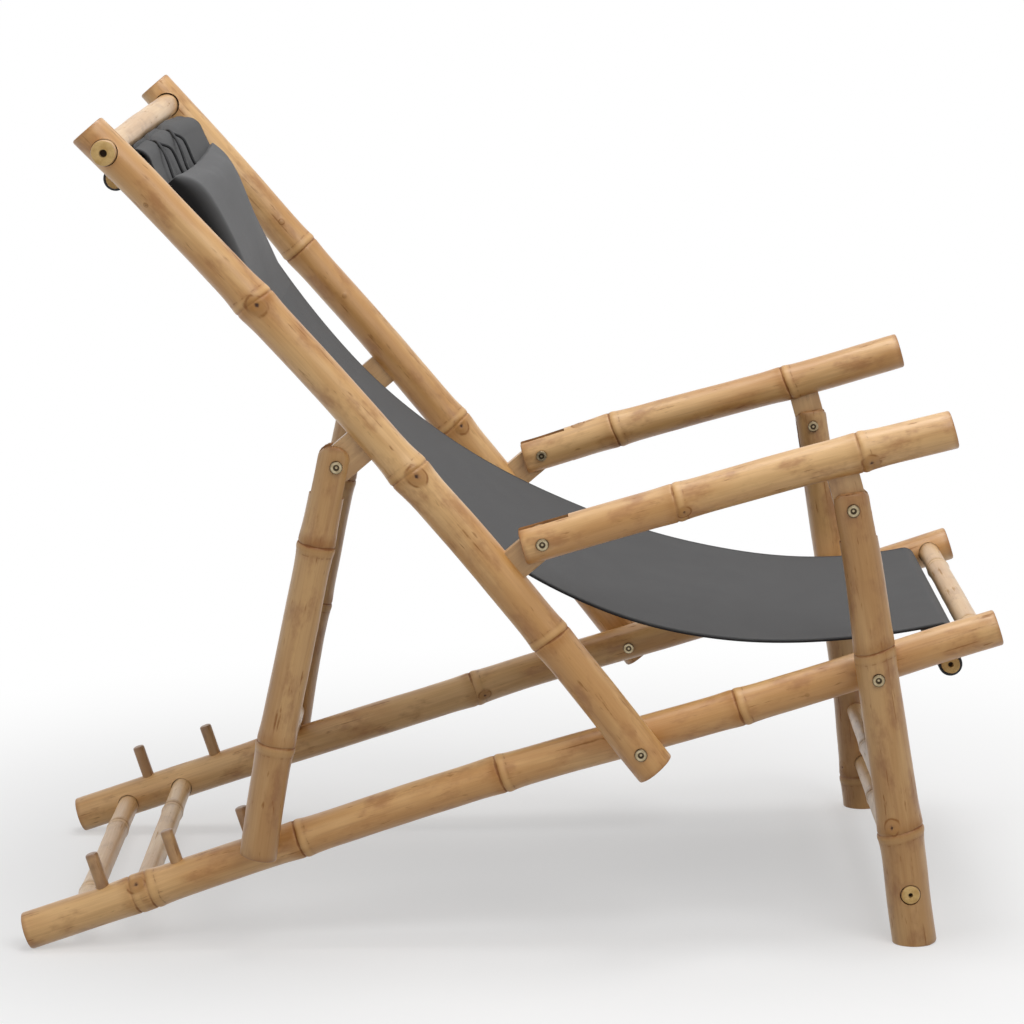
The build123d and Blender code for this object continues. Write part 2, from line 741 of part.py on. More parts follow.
with BuildPart() as pillow:
    for row in (-1.0, -pillow_shoulder, 0.0, pillow_shoulder, 1.0):
        fullness = sqrt(1 - row**2)
        crown = pillow_end_crown + (pillow_crown - pillow_end_crown) * fullness
        top = pillow_top_height - pillow_draw_in * fullness
        bottom = pillow_bottom_height + pillow_draw_in * fullness
        top_edge = sling_front(top, turning_gap)
        bottom_edge = sling_front(bottom, turning_gap)
        underside = sling_front((top + bottom) / 2, turning_gap)
        crest = sling_front(pillow_crown_height, crown)
        upper_height = (top + pillow_crown_height) / 2 + crown * pillow_top_lean
        lower_height = (bottom + pillow_crown_height) / 2
        upper_slope = sling_front(upper_height, crown * pillow_top_bulge)
        lower_slope = sling_front(lower_height, crown * pillow_front_bulge)
        with BuildSketch(side.offset(row * pillow_half_width)):
            with BuildLine():
                ThreePointArc(bottom_edge, underside, top_edge)
                ThreePointArc(top_edge, upper_slope, crest)
                ThreePointArc(crest, lower_slope, bottom_edge)
            make_face()
    loft()
pillow.part.label = "head_pillow"
export_step(pillow.part, "parts/head_pillow.step")

# Elastic cords: each pair of strands leaves the roll at one eyelet and spreads to the pillow's top edge
cord_lift = sling_thickness / 2 + turning_gap + cord_diameter / 2
cord_bend_radius = sling_roll_radius + cord_lift
roll_centre = roll_bend.arc_center
cord_exit = angle_of((upper_back_run % 1).rotate(Axis.Z, -90))
half_turn = (back_angle - cord_exit) / 2
cord_start = roll_centre + back_up * cord_bend_radius - back_front * cord_tail
cord_corner = roll_centre + heading(cord_exit + half_turn) * (cord_bend_radius / cos(radians(half_turn)))
cord_end = sling_front(pillow_top_height - pillow_draw_in - cord_tuck, turning_gap + cord_diameter / 2)
with BuildPart() as cords:
    for eyelet, spread in cord_loops:
        for strand in (-1, 1):
            eyelet_across = eyelet + strand * cord_eyelet_spacing / 2
            end_across = spread + strand * cord_spread / 2
            corner_across = (eyelet_across + end_across) / 2
            with BuildLine() as route:
                FilletPolyline(
                    placed(cord_start, eyelet_across),
                    placed(cord_corner, corner_across),
                    placed(cord_end, end_across),
                    radius=cord_bend_radius,
                )
            with BuildSketch(Plane(origin=route.line @ 0, z_dir=route.line % 0)):
                Circle(cord_diameter / 2)
            sweep(path=route.line)
cords.part.label = "pillow_cords"
export_step(cords.part, "parts/pillow_cords.step")
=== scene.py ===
from math import asin, atan2, cos, degrees, exp, pi, radians, sin, sqrt

import bmesh
import bpy
from mathutils import Matrix, Vector, noise


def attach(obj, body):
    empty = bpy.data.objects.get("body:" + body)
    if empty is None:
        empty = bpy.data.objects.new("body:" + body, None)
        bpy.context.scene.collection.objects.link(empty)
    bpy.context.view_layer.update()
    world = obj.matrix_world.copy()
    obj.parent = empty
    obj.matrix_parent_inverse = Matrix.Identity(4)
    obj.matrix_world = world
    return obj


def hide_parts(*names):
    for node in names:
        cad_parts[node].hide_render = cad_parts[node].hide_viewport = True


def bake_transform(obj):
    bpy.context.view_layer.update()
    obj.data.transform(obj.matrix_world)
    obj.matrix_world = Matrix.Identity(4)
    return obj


# Dressing for the bamboo deck chair: organic poles, canvas sling, head pillow, cords and finishes.
# Side-view places are (along, above) in millimetres: along a rail from its rear end, and square to it.
# The sitter's right side, which the camera sees, is -Y.

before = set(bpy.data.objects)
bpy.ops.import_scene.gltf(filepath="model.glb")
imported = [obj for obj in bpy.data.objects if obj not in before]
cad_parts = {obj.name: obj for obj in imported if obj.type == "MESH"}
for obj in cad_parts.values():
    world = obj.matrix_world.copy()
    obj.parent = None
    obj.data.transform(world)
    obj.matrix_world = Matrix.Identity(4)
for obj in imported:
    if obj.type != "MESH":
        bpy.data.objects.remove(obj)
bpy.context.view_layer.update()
scene = bpy.context.scene

MM = 0.001
SIDES = {"right": 1, "left": -1}

# Side view. Most sizes are the part's own; a few differ, such as the prop's tongues and the front rod
RAIL_SLOPE = radians(16.6)
RAIL_REAR = Vector((-0.5116014, 0.0, 0.0168236))
RAIL_LENGTH = 1068.0
RAIL_ACROSS = 234.0
POLE_ACROSS = 277.213
BACK_ANGLE = 112.67
ARM_ANGLE = -1.9
RAIL_RADII = (20.0, 19.0)
BACK_RADII = (21.3, 19.5)
ARM_RADII = (20.5, 20.5)
LEG_RADII = (18.5, 21.5)
PROP_RADII = (18.0, 19.5)
BACK_BELOW = 26.0
BACK_LENGTH = 874.5
ARM_OVERHANG = 21.0
ARM_LENGTH = 455.0
LEG_OVERHANG = 17.0
PROP_TAIL = 22.0
FORK_DEPTH = 33.0
TONGUE_WIDTH = 33.0
PROP_TONGUE_WIDTH = 37.0
TONGUE_THICKNESS = 14.0
FORK_CLEARANCE = 0.4
BOLT_HOLE = 3.1
LOOSE_HOLE = 5.2
PEG_PLACES = (92.0, 175.0, 258.0)
PEG_RADIUS = 6.75
PEG_HEIGHT = 40.0
PEG_DEPTH = 24.0


def heading(angle):
    """Unit direction in the side view, counted in degrees from the rail's direction."""
    return Vector((cos(radians(angle)), sin(radians(angle))))


def at(point, across):
    """World place of a side-view point, at a distance towards the sitter's right."""
    x = point.x * cos(RAIL_SLOPE) - point.y * sin(RAIL_SLOPE)
    z = point.x * sin(RAIL_SLOPE) + point.y * cos(RAIL_SLOPE)
    return RAIL_REAR + Vector((x, -across, z)) * MM


def world_way(direction):
    """World step of a side-view step."""
    return at(direction, 0) - at(Vector((0, 0)), 0)


BACK_UP = heading(BACK_ANGLE)
BACK_FRONT = heading(BACK_ANGLE - 90)
BACK_PIVOT = Vector((677.0, 0.0))


def on_back(height, front):
    """Side-view point at a height along the back pole and an offset in front of its axis."""
    return BACK_PIVOT + BACK_UP * height + BACK_FRONT * front


ARM_ALONG = heading(ARM_ANGLE)
ARM_DOWN = heading(ARM_ANGLE - 90)
ARM_HEIGHT = 232.7
ARM_ROOT = on_back(ARM_HEIGHT, 0)
ARM_HINGE = on_back(ARM_HEIGHT, 65.7)
PROP_HEIGHT = 428.5
PROP_ROOT = on_back(PROP_HEIGHT, 0)
PROP_HINGE = on_back(PROP_HEIGHT, -41.5)
LEG_ROOT = ARM_HINGE + ARM_ALONG * 313.0
LEG_HINGE = LEG_ROOT + ARM_DOWN * 53.6
LEG_PIVOT = Vector((932.0, 0.0))
LEG_DOWN = (LEG_PIVOT - LEG_HINGE).normalized()
PROP_BAR = Vector((276.55, 31.56))
PROP_DOWN = (PROP_BAR - PROP_HINGE).normalized()
PROP_END_RADIUS = 19.94
LEG_TOP = LEG_HINGE - LEG_DOWN * LEG_OVERHANG
LOWER_STRETCHER = LEG_PIVOT + LEG_DOWN * 230.0
UPPER_STRETCHER = LEG_PIVOT + LEG_DOWN * 166.0
REAR_BAR_OUTER = Vector((61.0, 0.0))
REAR_BAR_INNER = Vector((127.0, 0.0))
FRONT_BAR = Vector((1042.0, 0.0))
TOP_BAR = on_back(824.0, 0)
TOP_ROD = on_back(793.0, -29.91)
FRONT_ROD = Vector((1010.0, -25.2))
# The photographed back is slightly twisted at its top: offsets of each side (up the back, forwards)
BAR_SHIFTS = {1: BACK_UP * -4.5 - BACK_FRONT * 8.4, -1: BACK_UP * -3.0 + BACK_FRONT * 4.0}
ROD_SHIFTS = {1: BACK_FRONT * 7.6, -1: BACK_FRONT * 6.9}
LEG_BELOW = 288.0
LEG_LENGTH = (LEG_PIVOT - LEG_TOP).length + LEG_BELOW
PROP_LENGTH = PROP_END_RADIUS + (PROP_BAR - PROP_HINGE).length + PROP_TAIL

# Shader node helpers


def fill(tree, node, values):
    """Links sockets to a node's inputs, or sets numbers in them, by input name or index."""
    for key, value in values.items():
        if isinstance(value, bpy.types.NodeSocket):
            tree.links.new(value, node.inputs[key])
        else:
            node.inputs[key].default_value = value
    return node


def put(tree, kind, values=None, **settings):
    """Adds one shader node; values are numbers or sockets by input name or index."""
    made = tree.nodes.new("ShaderNode" + kind)
    for key, value in settings.items():
        setattr(made, key, value)
    return fill(tree, made, values or {})


def calc(tree, operation, a, b=0.0, c=0.0):
    return put(tree, "Math", {0: a, 1: b, 2: c}, operation=operation).outputs[0]


def times(tree, a, b):
    return calc(tree, "MULTIPLY", a, b)


def larger(tree, a, b):
    return calc(tree, "MAXIMUM", a, b)


def gap_to(tree, value, place):
    """How far a value is from a place."""
    return calc(tree, "ABSOLUTE", calc(tree, "ADD", value, -place))


def length_of(tree, vector):
    return put(tree, "VectorMath", {0: vector}, operation="LENGTH").outputs["Value"]


def fade(tree, value, low, high, start=0.0, end=1.0):
    """Smooth step of a value: start at low, end at high."""
    values = {"Value": value, "From Min": low, "From Max": high, "To Min": start, "To Max": end}
    return put(tree, "MapRange", values, interpolation_type="SMOOTHSTEP").outputs["Result"]


def tint(tree, share, under, over):
    """Lays one colour over another by a share."""
    return put(tree, "Mix", {0: share, 6: under, 7: over}, data_type="RGBA").outputs[2]


def stretched(tree, vector, scale):
    return put(tree, "Mapping", {"Vector": vector, "Scale": scale}).outputs["Vector"]


def cloud(tree, vector, scale, detail=2.0, roughness=0.5):
    values = {"Vector": vector, "Scale": scale, "Detail": detail, "Roughness": roughness}
    return put(tree, "TexNoise", values).outputs["Fac"]


def grain(tree, place, along, around, detail=2.0, roughness=0.5):
    """Noise with its own scale along a pole and around it."""
    return cloud(tree, stretched(tree, place, (along, around, around)), 1.0, detail, roughness)


def noted(tree, name, output="Fac"):
    """A value that the mesh carries under a name."""
    return put(tree, "Attribute", attribute_name=name).outputs[output]


def bumped(tree, height, strength, distance):
    """The normal of a surface with a height laid on it."""
    values = {"Height": height, "Strength": strength, "Distance": distance}
    return put(tree, "Bump", values).outputs["Normal"]


def rgb(red, green, blue):
    return (red, green, blue, 1.0)


def new_group(name, inputs, outputs):
    """An empty shader group with its sockets; returns the tree and its two end nodes."""
    tree = bpy.data.node_groups.new(name, "ShaderNodeTree")
    for label, kind, value in inputs:
        socket = tree.interface.new_socket(label, in_out="INPUT", socket_type="NodeSocket" + kind)
        if value is not None:
            socket.default_value = value
    for label, kind in outputs:
        tree.interface.new_socket(label, in_out="OUTPUT", socket_type="NodeSocket" + kind)
    return tree, tree.nodes.new("NodeGroupInput"), tree.nodes.new("NodeGroupOutput")


SCAR_OCHRE = rgb(0.41, 0.185, 0.035)
SCAR_EYE = rgb(0.03, 0.01, 0.004)
# Painted shade in a pith hole.
PITH_HOLE_PAINTED_SHADE = rgb(0.02, 0.009, 0.005)
# Near black: the sling's darker side edges, and painted shade on the pillow's side panels.
EDGE_DARK_AND_PAINTED_SHADE = rgb(0.012, 0.012, 0.013)
WHITE = rgb(1.0, 1.0, 1.0)


def make_culm_group():
    """Colour, height and roughness of a bamboo skin: fibres, blotches, node lines and bud scars."""
    inputs = [
        ("Light", "Color", rgb(0.7, 0.5, 0.3)),
        ("Mid", "Color", rgb(0.56, 0.36, 0.17)),
        ("Dark", "Color", rgb(0.34, 0.18, 0.08)),
        ("Line", "Color", rgb(0.235, 0.08, 0.016)),
        ("Marks", "Float", 1.0),
    ]
    outputs = [("Color", "Color"), ("Height", "Float"), ("Roughness", "Float"), ("Scar", "Float")]
    tree, given, out = new_group("culm_skin", inputs, outputs)
    light, mid, dark, ink = (given.outputs[name] for name in ("Light", "Mid", "Dark", "Line"))
    place = noted(tree, "culm", "Vector")
    ring, above, bud, tip = (noted(tree, name) for name in ("ring", "above_ring", "bud", "tip"))

    broad = grain(tree, place, 5.0, 26.0, 3.0, 0.55)
    patch = grain(tree, place, 22.0, 42.0, 4.0, 0.6)
    fibre = grain(tree, place, 16.0, 620.0, 3.0, 0.6)
    streak = grain(tree, place, 7.0, 190.0)
    scratch = grain(tree, place, 42.0, 260.0)
    split = grain(tree, place, 17.0, 340.0)
    waver = grain(tree, place, 60.0, 90.0)

    pale = tint(tree, fade(tree, broad, 0.38, 0.62), mid, light)
    warm = tint(tree, fade(tree, patch, 0.48, 0.72, 0.0, 0.7), pale, dark)
    lined = tint(tree, fade(tree, streak, 0.5, 0.75, 0.0, 0.26), warm, dark)
    hairy = tint(tree, fade(tree, fibre, 0.35, 0.75, 0.0, 0.17), lined, dark)
    cracks = times(tree, fade(tree, split, 0.62, 0.72, 0.0, 0.6), fade(tree, patch, 0.46, 0.58))
    marks = larger(tree, fade(tree, scratch, 0.66, 0.78, 0.0, 0.6), cracks)
    marked = tint(tree, times(tree, marks, given.outputs["Marks"]), hairy, ink)

    shift = calc(tree, "MULTIPLY_ADD", waver, 0.003, -0.0015)
    wandering = calc(tree, "ADD", ring, shift)
    upper = fade(tree, above, -0.1, 0.1)
    reach = calc(tree, "ABSOLUTE", wandering)
    worn = fade(tree, patch, 0.3, 0.62, 0.45, 1.0)
    stain = times(tree, fade(tree, reach, 0.002, 0.017, 0.42, 0.0), worn)
    band = tint(tree, stain, marked, dark)
    beside = gap_to(tree, ring, 0.0055)
    ridge = times(tree, fade(tree, beside, 0.001, 0.0048, 0.55, 0.0), upper)
    lip = tint(tree, ridge, band, light)
    line = times(tree, fade(tree, reach, 0.0004, 0.0016, 0.9, 0.0), worn)
    line = times(tree, line, fade(tree, bud, 0.01, 0.034, 0.2, 1.0))
    outer = gap_to(tree, wandering, 0.0105)
    second = times(tree, fade(tree, outer, 0.0002, 0.0012, 0.4, 0.0), upper)
    second = times(tree, second, fade(tree, streak, 0.45, 0.6))
    both = larger(tree, line, second)
    ringed = tint(tree, both, lip, ink)

    wobble = calc(tree, "MULTIPLY_ADD", patch, 0.008, -0.004)
    scar = calc(tree, "ADD", bud, wobble)
    ochre = tint(tree, fade(tree, scar, 0.006, 0.0125, 0.85, 0.0), ringed, SCAR_OCHRE)
    edge = gap_to(tree, scar, 0.0086)
    rim = times(tree, fade(tree, edge, 0.0002, 0.0018, 0.7, 0.0), fade(tree, waver, 0.36, 0.6))
    rimmed = tint(tree, rim, ochre, ink)
    heart = times(tree, fade(tree, scar, 0.0012, 0.0042, 0.6, 0.0), fade(tree, streak, 0.35, 0.6))
    looped = tint(tree, heart, rimmed, ink)
    hollow = fade(tree, bud, 0.0009, 0.0026, 0.97, 0.0)
    eye = tint(tree, hollow, looped, SCAR_EYE)
    singe = calc(tree, "MULTIPLY_ADD", patch, 0.012, tip)
    ended = tint(tree, fade(tree, singe, 0.004, 0.012, 0.8, 0.0), eye, dark)

    relief = calc(tree, "MULTIPLY_ADD", fibre, 0.5, times(tree, both, -1.2))
    relief = calc(tree, "MULTIPLY_ADD", patch, 0.35, relief)
    relief = calc(tree, "MULTIPLY_ADD", marks, -0.5, relief)
    scarred = larger(tree, both, larger(tree, rim, marks))
    scarred = larger(tree, scarred, larger(tree, stain, hollow))
    gloss = fade(tree, fibre, 0.2, 0.8, 0.4, 0.56)
    rough = calc(tree, "MULTIPLY_ADD", scarred, 0.25, gloss)
    fill(tree, out, {"Color": ended, "Height": relief, "Roughness": rough, "Scar": scarred})
    return tree


def make_cut_group():
    """Colour and height of sawn bamboo: vascular dots on an end, streaks along a split, painted shade in
    a pith hole.
    """
    inputs = [
        ("Light", "Color", rgb(0.6, 0.35, 0.14)),
        ("Dark", "Color", rgb(0.25, 0.11, 0.04)),
    ]
    outputs = [("Color", "Color"), ("Height", "Float")]
    tree, given, out = new_group("culm_cut", inputs, outputs)
    light, dark = given.outputs["Light"], given.outputs["Dark"]
    place = noted(tree, "culm", "Vector")
    pith = noted(tree, "pith")
    cells = {"Vector": stretched(tree, place, (24.0, 640.0, 640.0)), "Scale": 1.0}
    dots = put(tree, "TexVoronoi", cells).outputs["Distance"]
    smoke = grain(tree, place, 30.0, 110.0, 4.0, 0.6)
    saw = cloud(tree, stretched(tree, place, (300.0, 40.0, 400.0)), 1.0)
    base = tint(tree, fade(tree, smoke, 0.42, 0.72), light, dark)
    dotted = tint(tree, fade(tree, dots, 0.12, 0.42, 0.55, 0.0), base, dark)
    sawn = tint(tree, fade(tree, saw, 0.5, 0.8, 0.0, 0.3), dotted, dark)
    # Painted shade in the pith hole and just past its rim.
    pith_hole_shaded = tint(tree, fade(tree, pith, -0.0008, 0.0006, 0.97, 0.0), sawn, PITH_HOLE_PAINTED_SHADE)
    height = calc(tree, "ADD", times(tree, dots, 0.6), saw)
    fill(tree, out, {"Color": pith_hole_shaded, "Height": height})
    return tree


def make_weave_group():
    """Height and tone of a plain weave over a flat pair of coordinates in metres."""
    inputs = [("Vector", "Vector", None), ("Pitch", "Float", 0.0012)]
    outputs = [("Height", "Float"), ("Tone", "Float")]
    tree, given, out = new_group("plain_weave", inputs, outputs)
    flat = given.outputs["Vector"]
    parts = put(tree, "SeparateXYZ", {"Vector": flat})
    turns = calc(tree, "DIVIDE", 2 * pi, given.outputs["Pitch"])
    slub = cloud(tree, stretched(tree, flat, (90.0, 900.0, 1.0)), 1.0)
    warp = calc(tree, "SINE", times(tree, parts.outputs["X"], turns))
    weft = calc(tree, "SINE", times(tree, parts.outputs["Y"], turns))
    over = times(tree, warp, weft)
    height = calc(tree, "MULTIPLY_ADD", slub, 0.8, over)
    mottle = cloud(tree, flat, 24.0, 4.0, 0.6)
    tone = calc(tree, "MULTIPLY_ADD", mottle, 0.7, times(tree, slub, 0.3))
    tone = calc(tree, "MULTIPLY_ADD", over, 0.05, tone)
    fill(tree, out, {"Height": height, "Tone": tone})
    return tree


CULM_SKIN = make_culm_group()
CULM_CUT = make_cut_group()
PLAIN_WEAVE = make_weave_group()


def new_material(name):
    """A material; returns it, its tree and its Principled shader."""
    made = bpy.data.materials.new(name)
    made.use_nodes = True
    return made, made.node_tree, made.node_tree.nodes["Principled BSDF"]


def use_group(tree, group, values):
    return put(tree, "Group", values, node_tree=group).outputs


def bamboo_skin(name, light, mid, dark, marks):
    made, tree, shader = new_material(name)
    skin = use_group(tree, CULM_SKIN, {"Light": light, "Mid": mid, "Dark": dark, "Marks": marks})
    values = {
        "Base Color": skin["Color"],
        "Roughness": skin["Roughness"],
        "Normal": bumped(tree, skin["Height"], 0.35, 0.0006),
        "Coat Weight": fade(tree, skin["Scar"], 0.0, 0.7, 0.75, 0.0),
        "Coat Roughness": 0.4,
        "Specular IOR Level": 0.5,
    }
    fill(tree, shader, values)
    return made


def bamboo_cut(name, light, dark):
    made, tree, shader = new_material(name)
    cut = use_group(tree, CULM_CUT, {"Light": light, "Dark": dark})
    values = {
        "Base Color": cut["Color"],
        "Normal": bumped(tree, cut["Height"], 0.4, 0.0007),
        "Roughness": 0.72,
        "Specular IOR Level": 0.25,
    }
    fill(tree, shader, values)
    return made


def plated_steel(name, hinge):
    """Yellowish plating of mottled tone, with painted shade in its socket, and darker round its edge."""
    made, tree, shader = new_material(name)
    centre = at(hinge, 0)
    place = put(tree, "TexCoord").outputs["Object"]
    centred = {"Vector": place, "Location": (-centre.x, 0.0, -centre.z)}
    own = put(tree, "Mapping", centred).outputs["Vector"]
    out = length_of(tree, stretched(tree, own, (1.0, 0.0, 1.0)))
    haze = cloud(tree, place, 260.0, 4.0, 0.6)
    stain = cloud(tree, place, 900.0)
    bright = tint(tree, fade(tree, haze, 0.35, 0.7), rgb(0.33, 0.26, 0.155), rgb(0.5, 0.42, 0.28))
    # Painted shade in the hex socket.
    socket_painted_shade = fade(tree, gap_to(tree, out, 0.0023), 0.0007, 0.0014, 0.95, 0.0)
    socket_shaded = tint(tree, socket_painted_shade, bright, rgb(0.045, 0.03, 0.018))
    # Darker towards the head's edge.
    edged = tint(tree, fade(tree, out, 0.0049, 0.0062, 0.0, 0.8), socket_shaded, rgb(0.11, 0.075, 0.04))
    rough = fade(tree, stain, 0.3, 0.7, 0.16, 0.34)
    fill(tree, shader, {"Base Color": edged, "Roughness": rough, "Metallic": 1.0})
    return made


def woven_cloth(name, colour, shade):
    """Grey canvas. Its mesh notes flat places in metres, its darker edges and its painted shade."""
    made, tree, shader = new_material(name)
    weave = use_group(tree, PLAIN_WEAVE, {"Vector": noted(tree, "flat", "Vector")})
    tone = tint(tree, fade(tree, weave["Tone"], 0.3, 0.75), shade, colour)
    # The "hem" value darkens the cloth at the sling's side edges, and paints shade on the pillow's side
    # panels.
    values = {
        "Base Color": tint(tree, noted(tree, "hem"), tone, EDGE_DARK_AND_PAINTED_SHADE),
        "Normal": bumped(tree, weave["Height"], 0.25, 0.0003),
        "Roughness": 0.85,
        "Specular IOR Level": 0.2,
        "Sheen Weight": 0.08,
        "Sheen Roughness": 0.5,
    }
    fill(tree, shader, values)
    return made


def braided_elastic():
    made, tree, shader = new_material("braided_elastic")
    place = put(tree, "TexCoord").outputs["Object"]
    waves = {"Vector": place, "Scale": 420.0, "Distortion": 1.5}
    braid = put(tree, "TexWave", waves).outputs["Fac"]
    tone = tint(tree, braid, rgb(0.006, 0.006, 0.007), rgb(0.02, 0.02, 0.022))
    normal = bumped(tree, braid, 0.4, 0.0003)
    fill(tree, shader, {"Base Color": tone, "Normal": normal, "Roughness": 0.7})
    return made


POLE_SKIN = bamboo_skin(
    "bamboo_pole_skin", rgb(0.76, 0.46, 0.185), rgb(0.585, 0.297, 0.087), rgb(0.35, 0.13, 0.02), 1.0
)
LEG_SKIN = bamboo_skin(
    "bamboo_leg_skin", rgb(0.57, 0.33, 0.122), rgb(0.445, 0.225, 0.063), rgb(0.27, 0.097, 0.015), 1.0
)
BAR_SKIN = bamboo_skin(
    "bamboo_bar_skin", rgb(0.75, 0.5, 0.25), rgb(0.63, 0.38, 0.165), rgb(0.4, 0.21, 0.08), 0.5
)
PEG_SKIN = bamboo_skin(
    "bamboo_peg_skin", rgb(0.5, 0.29, 0.12), rgb(0.4, 0.21, 0.08), rgb(0.22, 0.1, 0.035), 0.8
)
POLE_CUT = bamboo_cut("bamboo_pole_cut", rgb(0.5, 0.27, 0.115), rgb(0.22, 0.1, 0.04))
BAR_CUT = bamboo_cut("bamboo_bar_cut", rgb(0.74, 0.5, 0.21), rgb(0.6, 0.37, 0.13))
TONGUE_SKIN = bamboo_skin(
    "tongue_wood", rgb(0.58, 0.36, 0.16), rgb(0.46, 0.26, 0.105), rgb(0.27, 0.13, 0.045), 0.6
)
HINGES = {
    "arm_hinge": ARM_HINGE,
    "back_pivot": BACK_PIVOT,
    "leg_hinge": LEG_HINGE,
    "leg_pivot": LEG_PIVOT,
    "prop_hinge": PROP_HINGE,
}
STEEL = {name: plated_steel(f"plated_steel_{name}", hinge) for name, hinge in HINGES.items()}
CANVAS = woven_cloth("grey_canvas", rgb(0.098, 0.098, 0.099), rgb(0.088, 0.088, 0.089))
PILLOW_CLOTH = woven_cloth("pillow_canvas", rgb(0.142, 0.142, 0.144), rgb(0.127, 0.127, 0.129))
ELASTIC = braided_elastic()

# Mesh helpers


def add_object(name, data):
    made = bpy.data.objects.new(name, data)
    scene.collection.objects.link(made)
    return made


def final_mesh(holder):
    """A new mesh of an object as its modifiers or its bevel leave it."""
    bpy.context.view_layer.update()
    seen = holder.evaluated_get(bpy.context.evaluated_depsgraph_get())
    return bpy.data.meshes.new_from_object(seen)


def move(bm, matrix):
    bmesh.ops.transform(bm, matrix=matrix, verts=bm.verts[:])


def dress(piece, *finishes):
    """Gives a piece its finishes, in place of any it has."""
    piece.data.materials.clear()
    for finish in finishes:
        piece.data.materials.append(finish)


def to_object(bm, name):
    """Merges, turns the faces outwards and makes an object of a bmesh."""
    bmesh.ops.remove_doubles(bm, verts=bm.verts[:], dist=1e-6)
    bmesh.ops.recalc_face_normals(bm, faces=bm.faces[:])
    mesh = bpy.data.meshes.new(name)
    bm.to_mesh(mesh)
    bm.free()
    return add_object(name, mesh)


def smooth(piece, angle=38.0):
    piece.data.shade_smooth()
    piece.data.set_sharp_from_angle(angle=radians(angle))


def note(mesh, name, values):
    """Writes one number or one vector for each point of a mesh."""
    vectors = isinstance(values[0], Vector)
    layer = mesh.attributes.new(name, "FLOAT_VECTOR" if vectors else "FLOAT", "POINT")
    if vectors:
        layer.data.foreach_set("vector", [part for value in values for part in value])
    else:
        layer.data.foreach_set("value", values)


def chain(bm, points):
    """An open chain of edges through the points; returns its vertices."""
    made = [bm.verts.new(point) for point in points]
    for first, second in zip(made, made[1:]):
        bm.edges.new((first, second))
    return made


def spun(outline, steps, longest):
    """A closed round body about the X axis from its (distance, radius) outline."""
    bm = bmesh.new()
    chain(bm, [(x, r, 0.0) for x, r in outline])
    for edge in [e for e in bm.edges if e.calc_length() > longest and max(v.co.y for v in e.verts) > 0]:
        lengthwise = abs(edge.verts[0].co.x - edge.verts[1].co.x)
        if lengthwise > longest:
            bmesh.ops.subdivide_edges(bm, edges=[edge], cuts=int(lengthwise / longest))
    bmesh.ops.spin(
        bm,
        geom=bm.verts[:] + bm.edges[:],
        cent=(0, 0, 0),
        axis=(1, 0, 0),
        dvec=(0, 0, 0),
        angle=2 * pi,
        steps=steps,
        use_merge=True,
    )
    bmesh.ops.remove_doubles(bm, verts=bm.verts[:], dist=1e-4)
    bmesh.ops.recalc_face_normals(bm, faces=bm.faces[:])
    return bm


def pole_frame(start, end, facing):
    """Matrix from a pole's own millimetres (X along it, Z to facing) to the world."""
    along = (end - start).normalized()
    front = (facing - along * facing.dot(along)).normalized()
    turned = Matrix((along, front.cross(along), front)).transposed().to_4x4()
    turned.translation = start
    return turned @ Matrix.Scale(MM, 4)


def carve(piece, *cutters):
    """Takes the cutters out of a piece and removes them."""
    for cutter in cutters:
        cut = piece.modifiers.new("cut", "BOOLEAN")
        cut.object = cutter
        cut.operation = "DIFFERENCE"
        cut.solver = "EXACT"
    mesh = final_mesh(piece)
    piece.modifiers.clear()
    piece.data = mesh
    for cutter in cutters:
        bpy.data.objects.remove(cutter)


def pins(name, outlines):
    """One cutter of several round pins across the chair, each from its (across, radius) outline."""
    bm = bmesh.new()
    for point, outline in outlines:
        pin = spun(outline, 32, 1000.0)
        move(pin, pole_frame(at(point, 0), at(point, 1), Vector((0, 0, 1))))
        mesh = bpy.data.meshes.new("pin")
        pin.to_mesh(mesh)
        pin.free()
        bm.from_mesh(mesh)
        bpy.data.meshes.remove(mesh)
    return to_object(bm, name)


def seat(hinge, faces, sign, outer=True, inner=True):
    """Outline of a bolt hole across a pole with flat seats for its head and its nut."""
    hole, spot, depth, reach = BOLT_HOLE, 7.1, 1.2, 14.0
    low, high = faces
    outline = [(low - reach, 0.0), (low - reach, spot if inner else hole)]
    if inner:
        outline += [(low + depth, spot), (low + depth, hole)]
    if outer:
        outline += [(high - depth, hole), (high - depth, spot)]
    outline += [(high + reach, spot if outer else hole), (high + reach, 0.0)]
    return hinge, [(sign * across, radius) for across, radius in outline]


SAW_OVERRUN = 6.0
SAW_WIDTH = 90.0
SAW_ROUGHNESS = 0.9


def slab(name, end, inward, depth, across, seed):
    """A rough saw cut into a pole's end, wide enough for a tongue."""
    bm = bmesh.new()
    bmesh.ops.create_cube(bm, size=1.0)
    thickness = TONGUE_THICKNESS + 2 * FORK_CLEARANCE
    bmesh.ops.scale(bm, vec=(depth + SAW_OVERRUN, SAW_WIDTH, thickness), verts=bm.verts[:])
    bmesh.ops.translate(bm, vec=(depth / 2 - SAW_OVERRUN / 2, 0, 0), verts=bm.verts[:])
    bmesh.ops.subdivide_edges(bm, edges=bm.edges[:], cuts=14, use_grid_fill=True)
    for vert in bm.verts:
        if abs(vert.co.z) > thickness / 2 - 0.01:
            rough = noise.noise(Vector((vert.co.x * 0.12, vert.co.y * 0.25, seed + vert.co.z)))
            vert.co.z += (SAW_ROUGHNESS * abs(rough)) * (1 if vert.co.z > 0 else -1)
    move(bm, pole_frame(at(end, across), at(end + inward, across), Vector((0, -1, 0))))
    return to_object(bm, name)


